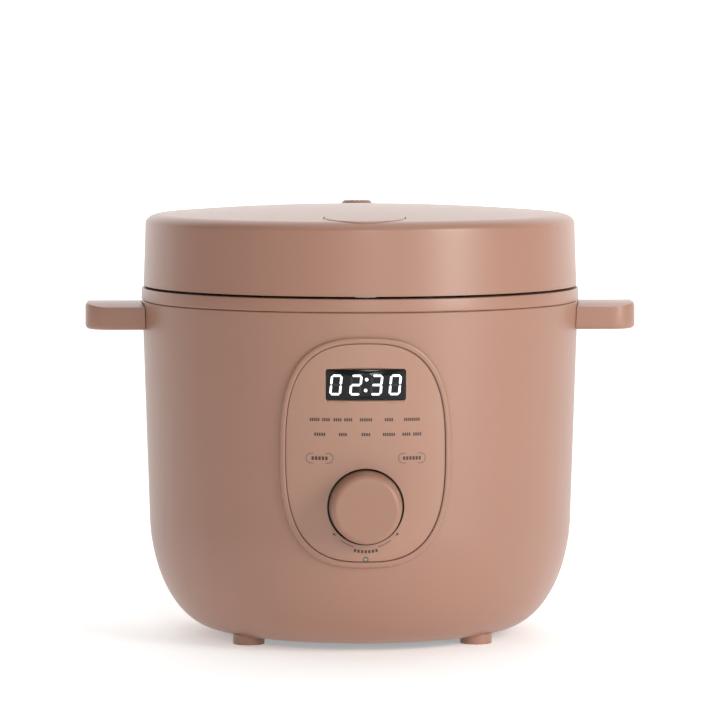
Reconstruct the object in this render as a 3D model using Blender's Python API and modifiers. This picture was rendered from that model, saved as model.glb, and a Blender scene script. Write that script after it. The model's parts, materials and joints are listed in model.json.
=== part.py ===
"""Electric multi cooker with a hinged, sealed lid, built as separate pieces.

Units are metres and +Z is up.  The origin is on the table under the middle of the cooker.  The panel
faces -Y, the hinge is at +Y, and the two lug handles point along X.
"""

import math

import bmesh
import bpy
from mathutils import Matrix, Vector

MM = 0.001

# ---------------------------------------------------------------------------------------------------
# Driving sizes
# ---------------------------------------------------------------------------------------------------

FIT_GAP = 0.3 * MM            # between two faces that touch on the real object
SLIDE_GAP = 0.4 * MM          # around a piece that slides or turns in a hole

# Body shell: a drum that narrows a little, then turns under in a large elliptical corner
BODY_RADIUS = 108.9 * MM      # outside, at the top edge
BODY_TAPER = 3.3 * MM         # how much smaller the radius is at the top of the corner
BODY_TOP_Z = 167.0 * MM
CORNER_TOP_Z = 62.0 * MM
CORNER_WIDTH = 33.8 * MM
GROUND_GAP = 3.5 * MM         # from the table to the flat bottom
WALL = 2.4 * MM
FLANGE_WIDTH = 12.3 * MM      # inward flange that the base cover screws to
FLANGE_THICKNESS = 2.4 * MM

# Base cover and feet
COVER_EDGE = 3.5 * MM         # flat shell bottom left outside the base cover
COVER_THICKNESS = 3.0 * MM
FOOT_RADIUS = 7.85 * MM
FOOT_OUTSET = 0.7 * MM        # foot's middle outside the edge of the flat bottom
FOOT_ANGLE = math.radians(39.4)
FOOT_DEPTH = 5.0 * MM         # how far a foot reaches up past the flat bottom
VENT_COUNT = 8
VENT_LENGTH = 14.0 * MM
VENT_WIDTH = 3.0 * MM
BASE_SCREW_RADIUS = 1.5 * MM
BASE_SCREW_HEAD = 3.2 * MM
BASE_SCREW_SEAT = 1.5 * MM
POST_HEIGHT = 2.7 * MM        # posts under the power board

# Collar: the deck ring between the body and the lid
COLLAR_PROUD = 0.4 * MM
COLLAR_HEIGHT = 6.2 * MM
LEDGE_DEPTH = 2.0 * MM        # the pot's rim sits this far below the deck
DECK_THICKNESS = 2.6 * MM
SPIGOT_DEPTH = 7.0 * MM       # the collar's skirt inside the body shell
SPIGOT_WALL = 2.0 * MM
RIM_MOAT = 6.0 * MM           # free deck between the pot's rim and the raised ring

# Cooking well, pot and heater
HOUSING_ROOM = 15.4 * MM      # between the shell's inner face and the well
WELL_WALL = 0.8 * MM
WELL_FLOOR_Z = 22.0 * MM
WELL_CORNER = 4.0 * MM
WELL_LIP = 5.7 * MM
WELL_HOLE_RADIUS = 20.0 * MM
POT_CLEARANCE = 2.5 * MM
POT_WALL = 1.8 * MM
POT_CORNER = 16.0 * MM
POT_RIM_WIDTH = 7.5 * MM
POT_RIM_THICKNESS = 1.5 * MM
PLATE_HEIGHT = 12.6 * MM      # heating plate, over its standing rim
PLATE_THICKNESS = 5.0 * MM
PLATE_INSET = 13.0 * MM       # the plate is this much smaller than the well
PLATE_RIM = 3.0 * MM
ELEMENT_TUBE_RADIUS = 3.2 * MM
ELEMENT_INSET = 18.0 * MM
BAND_HEIGHT = 40.0 * MM
BAND_WALL = 1.0 * MM
BAND_DROP = 51.0 * MM         # from the body's top edge down to the heater band

# Sprung thermostat in the middle of the plate
SENSOR_RADIUS = 14.0 * MM
SENSOR_CAP = 4.0 * MM
SENSOR_STEM_RADIUS = 8.0 * MM
SENSOR_STEM = 11.6 * MM
SENSOR_SIDE_GAP = 2.5 * MM
BRACKET_RADIUS = 26.0 * MM
BRACKET_DEPTH = 5.7 * MM
BRACKET_WALL = 1.2 * MM
SENSOR_SPRING_RADIUS = 10.5 * MM

# Handles
HANDLE_REACH = 28.25 * MM     # beyond the body's top edge
HANDLE_HALF_WIDTH = 20.0 * MM
HANDLE_HEIGHT = 13.6 * MM
HANDLE_CROWN = 2.3 * MM
HANDLE_DROP = 0.4 * MM        # crest below the body's top edge
HANDLE_CORNER = 13.0 * MM
HANDLE_EDGE = 2.2 * MM
FINGER_DEPTH = 3.0 * MM
FINGER_RIM = 4.0 * MM

# Control panel
PANEL_TOP_MARGIN = 11.8 * MM  # from the body's top edge to the frame
PANEL_BOTTOM_Z = 44.4 * MM
FRAME_OUTER_WIDTH = 82.4 * MM
FRAME_WIDTH = 2.8 * MM
FRAME_PROUD = 1.8 * MM
FRAME_COVER = 1.0 * MM        # how far the frame covers the edge of the shell's opening
OUTLINE_POWER = 2.8           # superellipse power of the panel's outline
PANEL_PROUD = 0.8 * MM
PANEL_THICKNESS = 2.0 * MM
SLEEVE_DEPTH = 4.2 * MM
LIP_WIDTH = 2.0 * MM
DISPLAY_WIDTH = 37.8 * MM
DISPLAY_HEIGHT = 14.5 * MM
DISPLAY_DROP = 22.6 * MM      # from the frame's top to the display's middle
DISPLAY_CORNER = 0.8 * MM
KEY_SPACING = 22.1 * MM       # half the distance between the two touch keys
KEY_BELOW_MIDDLE = 5.95 * MM  # touch keys below the middle between display and dial
LIGHT_RISE = 4.1 * MM         # from the frame's bottom to the indicator light
LIGHT_RADIUS = 0.95 * MM
BOARD_DEPTH = 8.0 * MM        # from the shell's surface at the dial to the board's front
BOARD_THICKNESS = 1.6 * MM
BOARD_INSET = 10.4 * MM       # board's edges inside the frame
BOARD_POST_RADIUS = 2.2 * MM
DIAL_POST_CLEARANCE = 5.25 * MM   # from the dial's ring out to the two posts beside it
DIAL_POST_ANGLE = math.radians(17.7)  # below the dial's middle
DISPLAY_POST_GAP = 1.5 * MM   # from the display up to the two posts above it

# Dial
KNOB_RADIUS = 17.65 * MM
KNOB_GAP = 0.85 * MM
DIAL_RING_WIDTH = 2.5 * MM    # ring around the dial, flush in the panel's face
KNOB_SILL = 11.85 * MM        # from the frame's bottom up to the dial's edge
KNOB_PROTRUSION = 14.0 * MM
KNOB_SINK = 2.0 * MM          # knob's back edge behind the shell's surface
KNOB_DRAFT = 0.9 * MM
KNOB_EDGE = 3.0 * MM
KNOB_WALL = 2.0 * MM
KNOB_BOSS_RADIUS = 5.2 * MM
KNOB_PUSH = 1.0 * MM
SHAFT_RADIUS = 2.9 * MM
ROTOR_RADIUS = 5.0 * MM
ENCODER_SIZE = 13.0 * MM
BUSHING_RADIUS = 4.2 * MM
BUSHING_LENGTH = 3.4 * MM

# Lid
LID_GAP = 1.2 * MM
LID_INSET = 1.0 * MM          # lid's lower edge inside the collar's radius
LID_DRAFT = 1.0 * MM
LID_SKIRT = 30.8 * MM
SHOULDER_WIDTH = 8.3 * MM
SHOULDER_RISE = 4.8 * MM
DOME_RISE = 4.1 * MM
LID_WALL = 2.2 * MM
LINER_THICKNESS = 2.0 * MM
LINER_ABOVE_GASKET = 0.3 * MM
LINER_LIP = 2.4 * MM
GASKET_HEIGHT = 4.1 * MM
GASKET_OVERHANG = 2.0 * MM
GASKET_WALL = 6.2 * MM
GASKET_LIP = 1.0 * MM
GASKET_LIP_WIDTH = 2.8 * MM
PLATE_SHEET = 0.8 * MM        # inner lid plate
LID_SCREW_INSET = 10.7 * MM
LID_SCREW_RADIUS = 1.4 * MM
LID_SCREW_HEAD = 2.7 * MM
CLIP_HEAD_RADIUS = 7.0 * MM
CLIP_STEM_RADIUS = 3.6 * MM

# Open button and latch
BUTTON_RADIUS = 19.6 * MM
BUTTON_INSET = 22.8 * MM      # from the lid's upper radius in to the button's middle
BUTTON_PROUD = 0.4 * MM
BUTTON_THICKNESS = 3.0 * MM
BUTTON_TRAVEL = 2.5 * MM
CUP_WALL = 1.45 * MM
CUP_FLOOR = 2.0 * MM
CUP_DEPTH = 10.4 * MM         # from the lid's crown edge down to the cup's upper floor face
STEM_WIDTH = 8.0 * MM
STEM_DEPTH = 5.0 * MM
BUTTON_SPRING_RADIUS = 6.8 * MM
LATCH_THICKNESS = 2.5 * MM
LATCH_WIDTH = 17.0 * MM
LATCH_TAIL = 6.0 * MM         # latch behind the button's stem
LATCH_GAP = 0.5 * MM          # above and below the latch
WEDGE = 2.7 * MM              # wedge on the stem's tip and ramp in the latch
CATCH_OUTSET = 4.0 * MM       # from the raised ring's inner edge out to the catch
CATCH_WIDTH = 10.0 * MM
CATCH_SHEET = 1.5 * MM
CATCH_NOSE = 1.7 * MM
CATCH_NOSE_HEIGHT = 2.2 * MM
CATCH_FOOT = 1.2 * MM
CATCH_PASSAGE = 0.7 * MM      # around the catch where it passes through the liner

# Steam vent
VENT_Y = 64.0 * MM
CAP_BASE_RADIUS = 8.5 * MM
CAP_TOP_RADIUS = 7.05 * MM
CAP_PROUD = 1.6 * MM
CAP_PLUG_RADIUS = 7.4 * MM
CAP_PLUG_LENGTH = 9.0 * MM
VENT_TUBE_RADIUS = 8.6 * MM
VENT_TUBE_WALL = 1.7 * MM
VENT_FLANGE_RADIUS = 12.0 * MM
NOZZLE_RADIUS = 6.0 * MM
STEAM_BORE = 2.4 * MM
BALL_RADIUS = 3.0 * MM
STEAM_HOLE = 3.0 * MM

# Hinge
HINGE_ABOVE_DECK = 0.5 * MM
BARREL_RADIUS = 4.8 * MM
BARREL_GAP = 0.6 * MM
BARREL_INNER_X = 9.0 * MM
BARREL_OUTER_X = 22.9 * MM
LUG_THICKNESS = 7.3 * MM
PIN_RADIUS = 2.0 * MM
PIN_END = 1.5 * MM

# Mains side
INLET_WIDTH = 28.0 * MM
INLET_HEIGHT = 20.0 * MM
INLET_Z = 37.0 * MM
INLET_WALL = 2.4 * MM
INLET_FLANGE = 3.0 * MM
INLET_FLANGE_PROUD = 1.5 * MM
PIN_PITCH = 7.0 * MM

# How finely round things are divided
RING_STEPS = 40
INNER_STEPS = 32
DISC_STEPS = 28
SMALL_STEPS = 18
TINY_STEPS = 8
CORNER_STEPS = 6
OUTLINE_POINTS = 40

# ---------------------------------------------------------------------------------------------------
# Sizes that follow
# ---------------------------------------------------------------------------------------------------

LOW_RADIUS = BODY_RADIUS - BODY_TAPER
FLAT_RADIUS = LOW_RADIUS - CORNER_WIDTH
COVER_RADIUS = FLAT_RADIUS - COVER_EDGE
COVER_TOP_Z = GROUND_GAP + COVER_THICKNESS
FLANGE_Z = COVER_TOP_Z + FIT_GAP
FLANGE_TOP_Z = FLANGE_Z + FLANGE_THICKNESS
FOOT_RING_RADIUS = FLAT_RADIUS + FOOT_OUTSET
POST_TOP_Z = COVER_TOP_Z + POST_HEIGHT

COLLAR_RADIUS = BODY_RADIUS + COLLAR_PROUD
COLLAR_BOTTOM_Z = BODY_TOP_Z + FIT_GAP
COLLAR_TOP_Z = COLLAR_BOTTOM_Z + COLLAR_HEIGHT
LEDGE_Z = COLLAR_TOP_Z - LEDGE_DEPTH
DECK_BOTTOM_Z = LEDGE_Z - DECK_THICKNESS

WELL_OUTER = LOW_RADIUS - WALL - HOUSING_ROOM
WELL_INNER = WELL_OUTER - WELL_WALL
POT_RADIUS = WELL_INNER - POT_CLEARANCE
POT_RIM_RADIUS = POT_RADIUS + POT_RIM_WIDTH
POT_RIM_Z = LEDGE_Z + FIT_GAP
POT_TOP_Z = POT_RIM_Z + POT_RIM_THICKNESS
MOAT_RADIUS = POT_RIM_RADIUS + RIM_MOAT
PLATE_RADIUS = WELL_INNER - PLATE_INSET
PLATE_BASE_Z = WELL_FLOOR_Z + WELL_WALL + FIT_GAP
PLATE_TOP_Z = PLATE_BASE_Z + PLATE_HEIGHT
PLATE_UNDERSIDE_Z = PLATE_TOP_Z - PLATE_THICKNESS
POT_BOTTOM_Z = PLATE_TOP_Z + FIT_GAP
ELEMENT_RING_RADIUS = PLATE_RADIUS - ELEMENT_INSET
BRACKET_TOP_Z = WELL_FLOOR_Z - FIT_GAP
BRACKET_FLOOR_Z = BRACKET_TOP_Z - BRACKET_DEPTH + BRACKET_WALL
SENSOR_TOP_Z = POT_BOTTOM_Z - FIT_GAP

LID_BOTTOM_Z = COLLAR_TOP_Z + LID_GAP
LID_RADIUS = COLLAR_RADIUS - LID_INSET
LID_TOP_RADIUS = LID_RADIUS - LID_DRAFT
SHOULDER_Z = LID_BOTTOM_Z + LID_SKIRT
DOME_RADIUS = LID_TOP_RADIUS - SHOULDER_WIDTH
DOME_EDGE_Z = SHOULDER_Z + SHOULDER_RISE
CROWN_Z = DOME_EDGE_Z + DOME_RISE

GASKET_BOTTOM_Z = POT_TOP_Z + FIT_GAP
GASKET_TOP_Z = GASKET_BOTTOM_Z + GASKET_HEIGHT
GASKET_RADIUS = POT_RIM_RADIUS + GASKET_OVERHANG
LINER_Z = GASKET_TOP_Z + LINER_ABOVE_GASKET
LINER_TOP_Z = LINER_Z + LINER_THICKNESS
INNER_PLATE_RADIUS = GASKET_RADIUS - GASKET_WALL - FIT_GAP
INNER_PLATE_Z = GASKET_BOTTOM_Z + GASKET_LIP + FIT_GAP
INNER_PLATE_TOP_Z = INNER_PLATE_Z + PLATE_SHEET

PANEL_TOP_Z = BODY_TOP_Z - PANEL_TOP_MARGIN
FRAME_OUTER_HEIGHT = PANEL_TOP_Z - PANEL_BOTTOM_Z
PANEL_MIDDLE_Z = (PANEL_TOP_Z + PANEL_BOTTOM_Z) / 2
FRAME_INNER_WIDTH = FRAME_OUTER_WIDTH - 2 * FRAME_WIDTH
FRAME_INNER_HEIGHT = FRAME_OUTER_HEIGHT - 2 * FRAME_WIDTH
OPENING_WIDTH = FRAME_OUTER_WIDTH - 2 * FRAME_COVER
OPENING_HEIGHT = FRAME_OUTER_HEIGHT - 2 * FRAME_COVER
DISPLAY_Z = PANEL_TOP_Z - DISPLAY_DROP
KNOB_Z = PANEL_BOTTOM_Z + KNOB_SILL + KNOB_RADIUS
LIGHT_Z = PANEL_BOTTOM_Z + LIGHT_RISE
KEY_Z = (DISPLAY_Z + KNOB_Z) / 2 - KEY_BELOW_MIDDLE


def body_radius(z, offset=0.0):
    """Outside radius of the body at height z, or of a surface that lies offset outside it."""
    if z >= CORNER_TOP_Z:
        share = (z - CORNER_TOP_Z) / (BODY_TOP_Z - CORNER_TOP_Z)
        return LOW_RADIUS + BODY_TAPER * share + offset
    depth = CORNER_TOP_Z - GROUND_GAP + offset
    drop = min(1.0, (CORNER_TOP_Z - z) / depth)
    return FLAT_RADIUS + (CORNER_WIDTH + offset) * math.sqrt(1.0 - drop * drop)


SHELL_AT_KNOB = body_radius(KNOB_Z)
BOARD_FRONT = SHELL_AT_KNOB - BOARD_DEPTH
BOARD_BACK = BOARD_FRONT - BOARD_THICKNESS
KNOB_FRONT = SHELL_AT_KNOB + PANEL_PROUD + KNOB_PROTRUSION
KNOB_BACK = SHELL_AT_KNOB - KNOB_SINK
DIAL_HOLE_RADIUS = KNOB_RADIUS + KNOB_GAP
DIAL_RING_RADIUS = DIAL_HOLE_RADIUS + DIAL_RING_WIDTH
BOARD_HALF_WIDTH = FRAME_INNER_WIDTH / 2 - BOARD_INSET
ENCODER_BACK = BOARD_FRONT + FIT_GAP
ENCODER_FRONT = KNOB_BACK - KNOB_PUSH

HINGE_Y = COLLAR_RADIUS + BARREL_RADIUS + BARREL_GAP
HINGE_Z = COLLAR_TOP_Z + HINGE_ABOVE_DECK
LUG_RADIUS = KNOB_FRONT - HINGE_Y      # the hinge reaches as far back as the dial reaches forward
LUG_INNER_X = BARREL_OUTER_X + FIT_GAP
LUG_OUTER_X = LUG_INNER_X + LUG_THICKNESS

BUTTON_Y = -(LID_TOP_RADIUS - BUTTON_INSET)
CUP_TOP_Z = DOME_EDGE_Z + DOME_RISE / 4 - CUP_DEPTH
STEM_FRONT_Y = BUTTON_Y - STEM_DEPTH / 2
STEM_BACK_Y = BUTTON_Y + STEM_DEPTH / 2
LATCH_Z = LINER_TOP_Z + LATCH_GAP
LATCH_TOP_Z = LATCH_Z + LATCH_THICKNESS
STEM_TIP_Z = LATCH_TOP_Z + LATCH_GAP
CATCH_FRONT_Y = -(MOAT_RADIUS + CATCH_OUTSET)
CATCH_BACK_Y = CATCH_FRONT_Y + CATCH_SHEET
CATCH_NOSE_Y = CATCH_BACK_Y + CATCH_NOSE
LATCH_FRONT_Y = CATCH_NOSE_Y + SLIDE_GAP
LATCH_BACK_Y = STEM_BACK_Y + LATCH_TAIL

parts = None
cutters = None


# ---------------------------------------------------------------------------------------------------
# Making and combining shapes
# ---------------------------------------------------------------------------------------------------

def clear_scene():
    """Start from an empty file with one collection for the cooker and one for its cutters."""
    global parts, cutters
    for thing in list(bpy.data.objects):
        bpy.data.objects.remove(thing, do_unlink=True)
    parts = bpy.data.collections.new("multi_cooker")
    cutters = bpy.data.collections.new("cutters")
    bpy.context.scene.collection.children.link(parts)
    bpy.context.scene.collection.children.link(cutters)


def place(thing, tool=False):
    """Link an object as a part of the cooker, or as a hidden tool that shapes one."""
    (cutters if tool else parts).objects.link(thing)
    if tool:
        thing.hide_render = True
        thing.display_type = "WIRE"
    return thing


def mesh_object(name, shape, tool=False):
    """Turn a bmesh into an object."""
    bmesh.ops.recalc_face_normals(shape, faces=shape.faces)
    mesh = bpy.data.meshes.new(name)
    shape.to_mesh(mesh)
    shape.free()
    return place(bpy.data.objects.new(name, mesh), tool)


def box(name, low, high, tool=False):
    """A box between two corners."""
    shape = bmesh.new()
    size = [b - a for a, b in zip(low, high)]
    middle = [(a + b) / 2 for a, b in zip(low, high)]
    transform = Matrix.Translation(middle) @ Matrix.Diagonal((*size, 1.0))
    bmesh.ops.create_cube(shape, size=1.0, matrix=transform)
    return mesh_object(name, shape, tool)


def rod(name, radius, start, end, steps=SMALL_STEPS, tool=False, end_radius=None):
    """A round bar or cone between two points."""
    start, end = Vector(start), Vector(end)
    length = (end - start).length
    turn = Vector((0, 0, 1)).rotation_difference(end - start).to_matrix().to_4x4()
    shape = bmesh.new()
    bmesh.ops.create_cone(shape, cap_ends=True, segments=steps, radius1=radius,
                          radius2=radius if end_radius is None else end_radius, depth=length,
                          matrix=Matrix.Translation((start + end) / 2) @ turn)
    return mesh_object(name, shape, tool)


def turned(name, profile, steps=RING_STEPS, closed=True, tool=False, at=(0, 0, 0), facing="up"):
    """A turned shape.  The profile is (radius, height) and runs down the outside, up the inside."""
    mesh = bpy.data.meshes.new(name)
    edges = [(i, i + 1) for i in range(len(profile) - 1)]
    if closed:
        edges.append((len(profile) - 1, 0))
    mesh.from_pydata([(r, 0.0, z) for r, z in profile], edges, [])
    thing = place(bpy.data.objects.new(name, mesh), tool)
    thing.location = at
    if facing == "front":
        thing.rotation_euler = (math.pi / 2, 0.0, 0.0)
    screw = thing.modifiers.new("turn", "SCREW")
    screw.steps = steps
    screw.render_steps = steps
    screw.use_merge_vertices = True
    screw.merge_threshold = 0.00001
    screw.use_smooth_shade = True
    return thing


def to_mesh_object(thing, tool=False):
    """Replace a curve object by a welded mesh object with the same name and place."""
    bpy.context.view_layer.update()
    graph = bpy.context.evaluated_depsgraph_get()
    mesh = bpy.data.meshes.new_from_object(thing.evaluated_get(graph))
    name, matrix = thing.name, thing.matrix_world.copy()
    bpy.data.objects.remove(thing, do_unlink=True)
    shape = bmesh.new()
    shape.from_mesh(mesh)
    bpy.data.meshes.remove(mesh)
    bmesh.ops.remove_doubles(shape, verts=shape.verts, dist=0.000002)
    result = mesh_object(name, shape, tool)
    result.matrix_world = matrix
    return result


def plate(name, outlines, near, far, axis="y", tool=False):
    """A flat outline, with further outlines as holes, extruded along one axis from near to far.

    Points are (x, z) for a plate across Y, (x, y) across Z, and (y, z) across X.
    """
    curve = bpy.data.curves.new(name, "CURVE")
    curve.dimensions = "2D"
    curve.fill_mode = "BOTH"
    curve.extrude = abs(far - near) / 2
    for outline in outlines:
        spline = curve.splines.new("POLY")
        spline.points.add(len(outline) - 1)
        for point, (u, v) in zip(spline.points, outline):
            point.co = (u, v, 0.0, 1.0)
        spline.use_cyclic_u = True
    thing = place(bpy.data.objects.new(name, curve), tool)
    middle = (near + far) / 2
    if axis == "y":
        thing.matrix_world = Matrix.Translation((0, middle, 0)) @ Matrix.Rotation(math.pi / 2, 4, "X")
    elif axis == "x":
        across = Matrix(((0, 0, 1, 0), (1, 0, 0, 0), (0, 1, 0, 0), (0, 0, 0, 1)))
        thing.matrix_world = Matrix.Translation((middle, 0, 0)) @ across
    else:
        thing.location = (0, 0, middle)
    return to_mesh_object(thing, tool)


def wire(name, points, radius, closed=False, resolution=2):
    """A round wire through points."""
    curve = bpy.data.curves.new(name, "CURVE")
    curve.dimensions = "3D"
    curve.bevel_depth = radius
    curve.bevel_resolution = resolution
    curve.use_fill_caps = not closed
    spline = curve.splines.new("POLY")
    spline.points.add(len(points) - 1)
    for point, place_at in zip(spline.points, points):
        point.co = (*place_at, 1.0)
    spline.use_cyclic_u = closed
    return to_mesh_object(place(bpy.data.objects.new(name, curve)))


def coil(name, radius, wire_radius, start, end, turns, steps=8):
    """A compression spring's helix; its wire stays between the two end points."""
    start, end = Vector(start), Vector(end)
    along = (end - start).normalized()
    first = start + along * wire_radius
    last = end - along * wire_radius
    side = along.orthogonal().normalized()
    other = along.cross(side)
    count = turns * steps
    points = []
    for i in range(count + 1):
        angle = 2 * math.pi * i / steps
        ring = side * math.cos(angle) + other * math.sin(angle)
        points.append(first.lerp(last, i / count) + ring * radius)
    return wire(name, points, wire_radius, resolution=1)


def combine(thing, tool, operation):
    """Add an exact Boolean step to a part."""
    step = thing.modifiers.new(operation.lower(), "BOOLEAN")
    step.operation = operation
    step.solver = "EXACT"
    step.object = tool
    return thing


def cut(thing, *tools):
    """Take tools out of a part."""
    for tool in tools:
        combine(thing, tool, "DIFFERENCE")
    return thing


def join(thing, *tools):
    """Add tools to a part as one solid."""
    for tool in tools:
        combine(thing, tool, "UNION")
    return thing


def keep(thing, tool):
    """Keep only what is inside the tool."""
    return combine(thing, tool, "INTERSECT")


def superellipse(width, height, z, count=OUTLINE_POINTS):
    """Points of a superellipse outline around (0, z), with a flat stretch at each side and end."""
    points = []
    for i in range(count):
        angle = 2 * math.pi * (i + 0.5) / count
        c, s = math.cos(angle), math.sin(angle)
        u = math.copysign(abs(c) ** (2 / OUTLINE_POWER), c) * width / 2
        v = math.copysign(abs(s) ** (2 / OUTLINE_POWER), s) * height / 2
        points.append((u, z + v))
    return points


def rounded_box(width, height, corner, middle, steps=3):
    """Points of a rectangle with rounded corners around a middle point."""
    points = []
    for quarter in range(4):
        sign_u = (1, -1, -1, 1)[quarter]
        sign_v = (1, 1, -1, -1)[quarter]
        centre_u = middle[0] + sign_u * (width / 2 - corner)
        centre_v = middle[1] + sign_v * (height / 2 - corner)
        for i in range(steps + 1):
            angle = math.pi / 2 * (quarter + i / steps)
            points.append((centre_u + corner * math.cos(angle), centre_v + corner * math.sin(angle)))
    return points


# ---------------------------------------------------------------------------------------------------
# Shared surfaces: the body's outside and the lid's outside, moved in or out by an offset
# ---------------------------------------------------------------------------------------------------

def body_line(offset, top_z, low_z=None, steps=CORNER_STEPS):
    """(radius, z) down the body's outside, from top_z to the flat bottom or to low_z."""
    depth = CORNER_TOP_Z - GROUND_GAP + offset
    last = math.pi / 2 if low_z is None else math.asin(min(1.0, (CORNER_TOP_Z - low_z) / depth))
    line = [(body_radius(top_z, offset), top_z)]
    for i in range(steps + 1):
        angle = last * i / steps
        radius = FLAT_RADIUS + (CORNER_WIDTH + offset) * math.cos(angle)
        line.append((radius, CORNER_TOP_Z - depth * math.sin(angle)))
    return line


def body_solid(name, offset, top_z):
    """A full solid inside the body's outside, moved by offset; a tool for what fits the body."""
    line = body_line(offset, top_z)
    profile = [(0.0, top_z)] + line + [(0.0, line[-1][1])]
    return turned(name, profile, closed=False, tool=True)


def body_skin(name, inner, outer):
    """A thin ring solid that follows the body between two offsets; a tool for panel pieces."""
    top_z = BODY_TOP_Z
    low_z = PANEL_BOTTOM_Z - 8 * MM
    profile = body_line(outer, top_z, low_z) + list(reversed(body_line(inner, top_z, low_z)))
    return turned(name, profile, tool=True)


def lid_line(offset):
    """(radius, z) from the lid's crown, over the shoulder and down to its lower edge."""
    line = []
    for i in range(4):
        radius = DOME_RADIUS * i / 4
        line.append((radius, CROWN_Z + offset - DOME_RISE * (i / 4) ** 2))
    for i in range(5):
        angle = math.pi / 2 * (1 - i / 4)
        radius = DOME_RADIUS + (SHOULDER_WIDTH + offset) * math.cos(angle)
        line.append((radius, SHOULDER_Z + (SHOULDER_RISE + offset) * math.sin(angle)))
    line.append((LID_RADIUS + offset, LID_BOTTOM_Z))
    return line


def lid_solid(name, offset):
    """A full solid inside the lid's outside, moved by offset."""
    profile = lid_line(offset) + [(0.0, LID_BOTTOM_Z)]
    return turned(name, profile, closed=False, tool=True)


# ---------------------------------------------------------------------------------------------------
# Body: shell, collar, handles, base
# ---------------------------------------------------------------------------------------------------

def make_body_shell():
    """The moulded drum, with a flange for the base cover and openings for panel and inlet."""
    outer = body_line(0.0, BODY_TOP_Z)
    inner = body_line(-WALL, BODY_TOP_Z, FLANGE_TOP_Z)
    flange_radius = COVER_RADIUS + FIT_GAP
    inner_edge = COVER_RADIUS - FLANGE_WIDTH
    profile = outer + [(flange_radius, GROUND_GAP), (flange_radius, FLANGE_Z), (inner_edge, FLANGE_Z),
                       (inner_edge, FLANGE_TOP_Z)] + list(reversed(inner))
    shell = turned("body_shell", profile)
    opening = superellipse(OPENING_WIDTH, OPENING_HEIGHT, PANEL_MIDDLE_Z)
    cut(shell, plate("panel_opening", [opening], -BODY_RADIUS * 1.2, -BODY_RADIUS / 2, tool=True))
    inlet = rounded_box(INLET_WIDTH + 2 * FIT_GAP, INLET_HEIGHT + 2 * FIT_GAP, 3 * MM, (0, INLET_Z))
    cut(shell, plate("inlet_opening", [inlet], BODY_RADIUS / 2, BODY_RADIUS * 1.2, tool=True))
    for index, (x, y) in enumerate(base_screw_places()):
        hole = rod(f"flange_hole_{index}", BASE_SCREW_RADIUS + FIT_GAP, (x, y, GROUND_GAP),
                   (x, y, FLANGE_TOP_Z + 5 * MM), TINY_STEPS, tool=True)
        cut(shell, hole)
    return shell


def make_collar():
    """The deck ring, with its skirt inside the shell and the hinge lugs."""
    spigot_z = BODY_TOP_Z - SPIGOT_DEPTH
    spigot = body_radius(spigot_z) - WALL - FIT_GAP
    deck_edge = POT_RADIUS + POT_CLEARANCE + WELL_WALL + 0.5 * MM
    profile = [(COLLAR_RADIUS, COLLAR_TOP_Z), (COLLAR_RADIUS, COLLAR_BOTTOM_Z),
               (spigot, COLLAR_BOTTOM_Z), (spigot, spigot_z), (spigot - SPIGOT_WALL, spigot_z),
               (spigot - SPIGOT_WALL, DECK_BOTTOM_Z), (deck_edge, DECK_BOTTOM_Z),
               (deck_edge, LEDGE_Z), (MOAT_RADIUS, LEDGE_Z), (MOAT_RADIUS, COLLAR_TOP_Z)]
    collar = turned("body_collar", profile)
    for side in (-1, 1):
        x = sorted((side * LUG_INNER_X, side * LUG_OUTER_X))
        arm = box(f"lug_arm_{side}", (x[0], MOAT_RADIUS + 5 * MM, DECK_BOTTOM_Z - 0.7 * MM),
                  (x[1], HINGE_Y, COLLAR_TOP_Z - 0.3 * MM), tool=True)
        eye = rod(f"lug_eye_{side}", LUG_RADIUS, (x[0], HINGE_Y, HINGE_Z), (x[1], HINGE_Y, HINGE_Z),
                  SMALL_STEPS, tool=True)
        join(collar, arm, eye)
    bore = rod("lug_bore", PIN_RADIUS + FIT_GAP, (-LUG_OUTER_X - 1 * MM, HINGE_Y, HINGE_Z),
               (LUG_OUTER_X + 1 * MM, HINGE_Y, HINGE_Z), TINY_STEPS, tool=True)
    cut(collar, bore)
    return collar


def make_handle(name, side):
    """A lug handle: a crowned, round-cornered slab with a finger groove below, fitted to the body."""
    crest = BODY_TOP_Z - HANDLE_DROP
    bottom = crest - HANDLE_HEIGHT
    reach = BODY_RADIUS + HANDLE_REACH
    root = BODY_RADIUS * 0.8
    middle = (side * (root + reach) / 2, 0.0)
    outline = rounded_box(reach - root, 2 * HANDLE_HALF_WIDTH, HANDLE_CORNER, middle, steps=5)
    handle = plate(name, [outline], bottom, crest, axis="z")
    bevel = handle.modifiers.new("edge", "BEVEL")
    bevel.width = HANDLE_EDGE
    bevel.segments = 2
    bevel.limit_method = "ANGLE"
    bevel.angle_limit = math.radians(60)
    crown_radius = (HANDLE_HALF_WIDTH ** 2 + HANDLE_CROWN ** 2) / (2 * HANDLE_CROWN)
    crown = rod(f"{name}_crown", crown_radius, (0, 0, crest - crown_radius),
                (side * reach * 1.2, 0, crest - crown_radius), 96, tool=True)
    keep(handle, crown)
    groove = rounded_box(HANDLE_REACH - FINGER_RIM, 2 * (HANDLE_HALF_WIDTH - FINGER_RIM),
                         HANDLE_CORNER - FINGER_RIM,
                         (side * (BODY_RADIUS + (HANDLE_REACH - FINGER_RIM) / 2 + 1 * MM), 0.0))
    cut(handle, plate(f"{name}_groove", [groove], bottom - 1 * MM, bottom + FINGER_DEPTH, axis="z",
                      tool=True))
    cut(handle, body_solid(f"{name}_seat", FIT_GAP, BODY_TOP_Z + 5 * MM))
    return handle


def base_screw_places():
    """Four places on the flange."""
    radius = COVER_RADIUS - FLANGE_WIDTH / 2 + 1 * MM
    return [(radius * math.cos(math.radians(a)), radius * math.sin(math.radians(a)))
            for a in (0, 90, 180, 270)]


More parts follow.
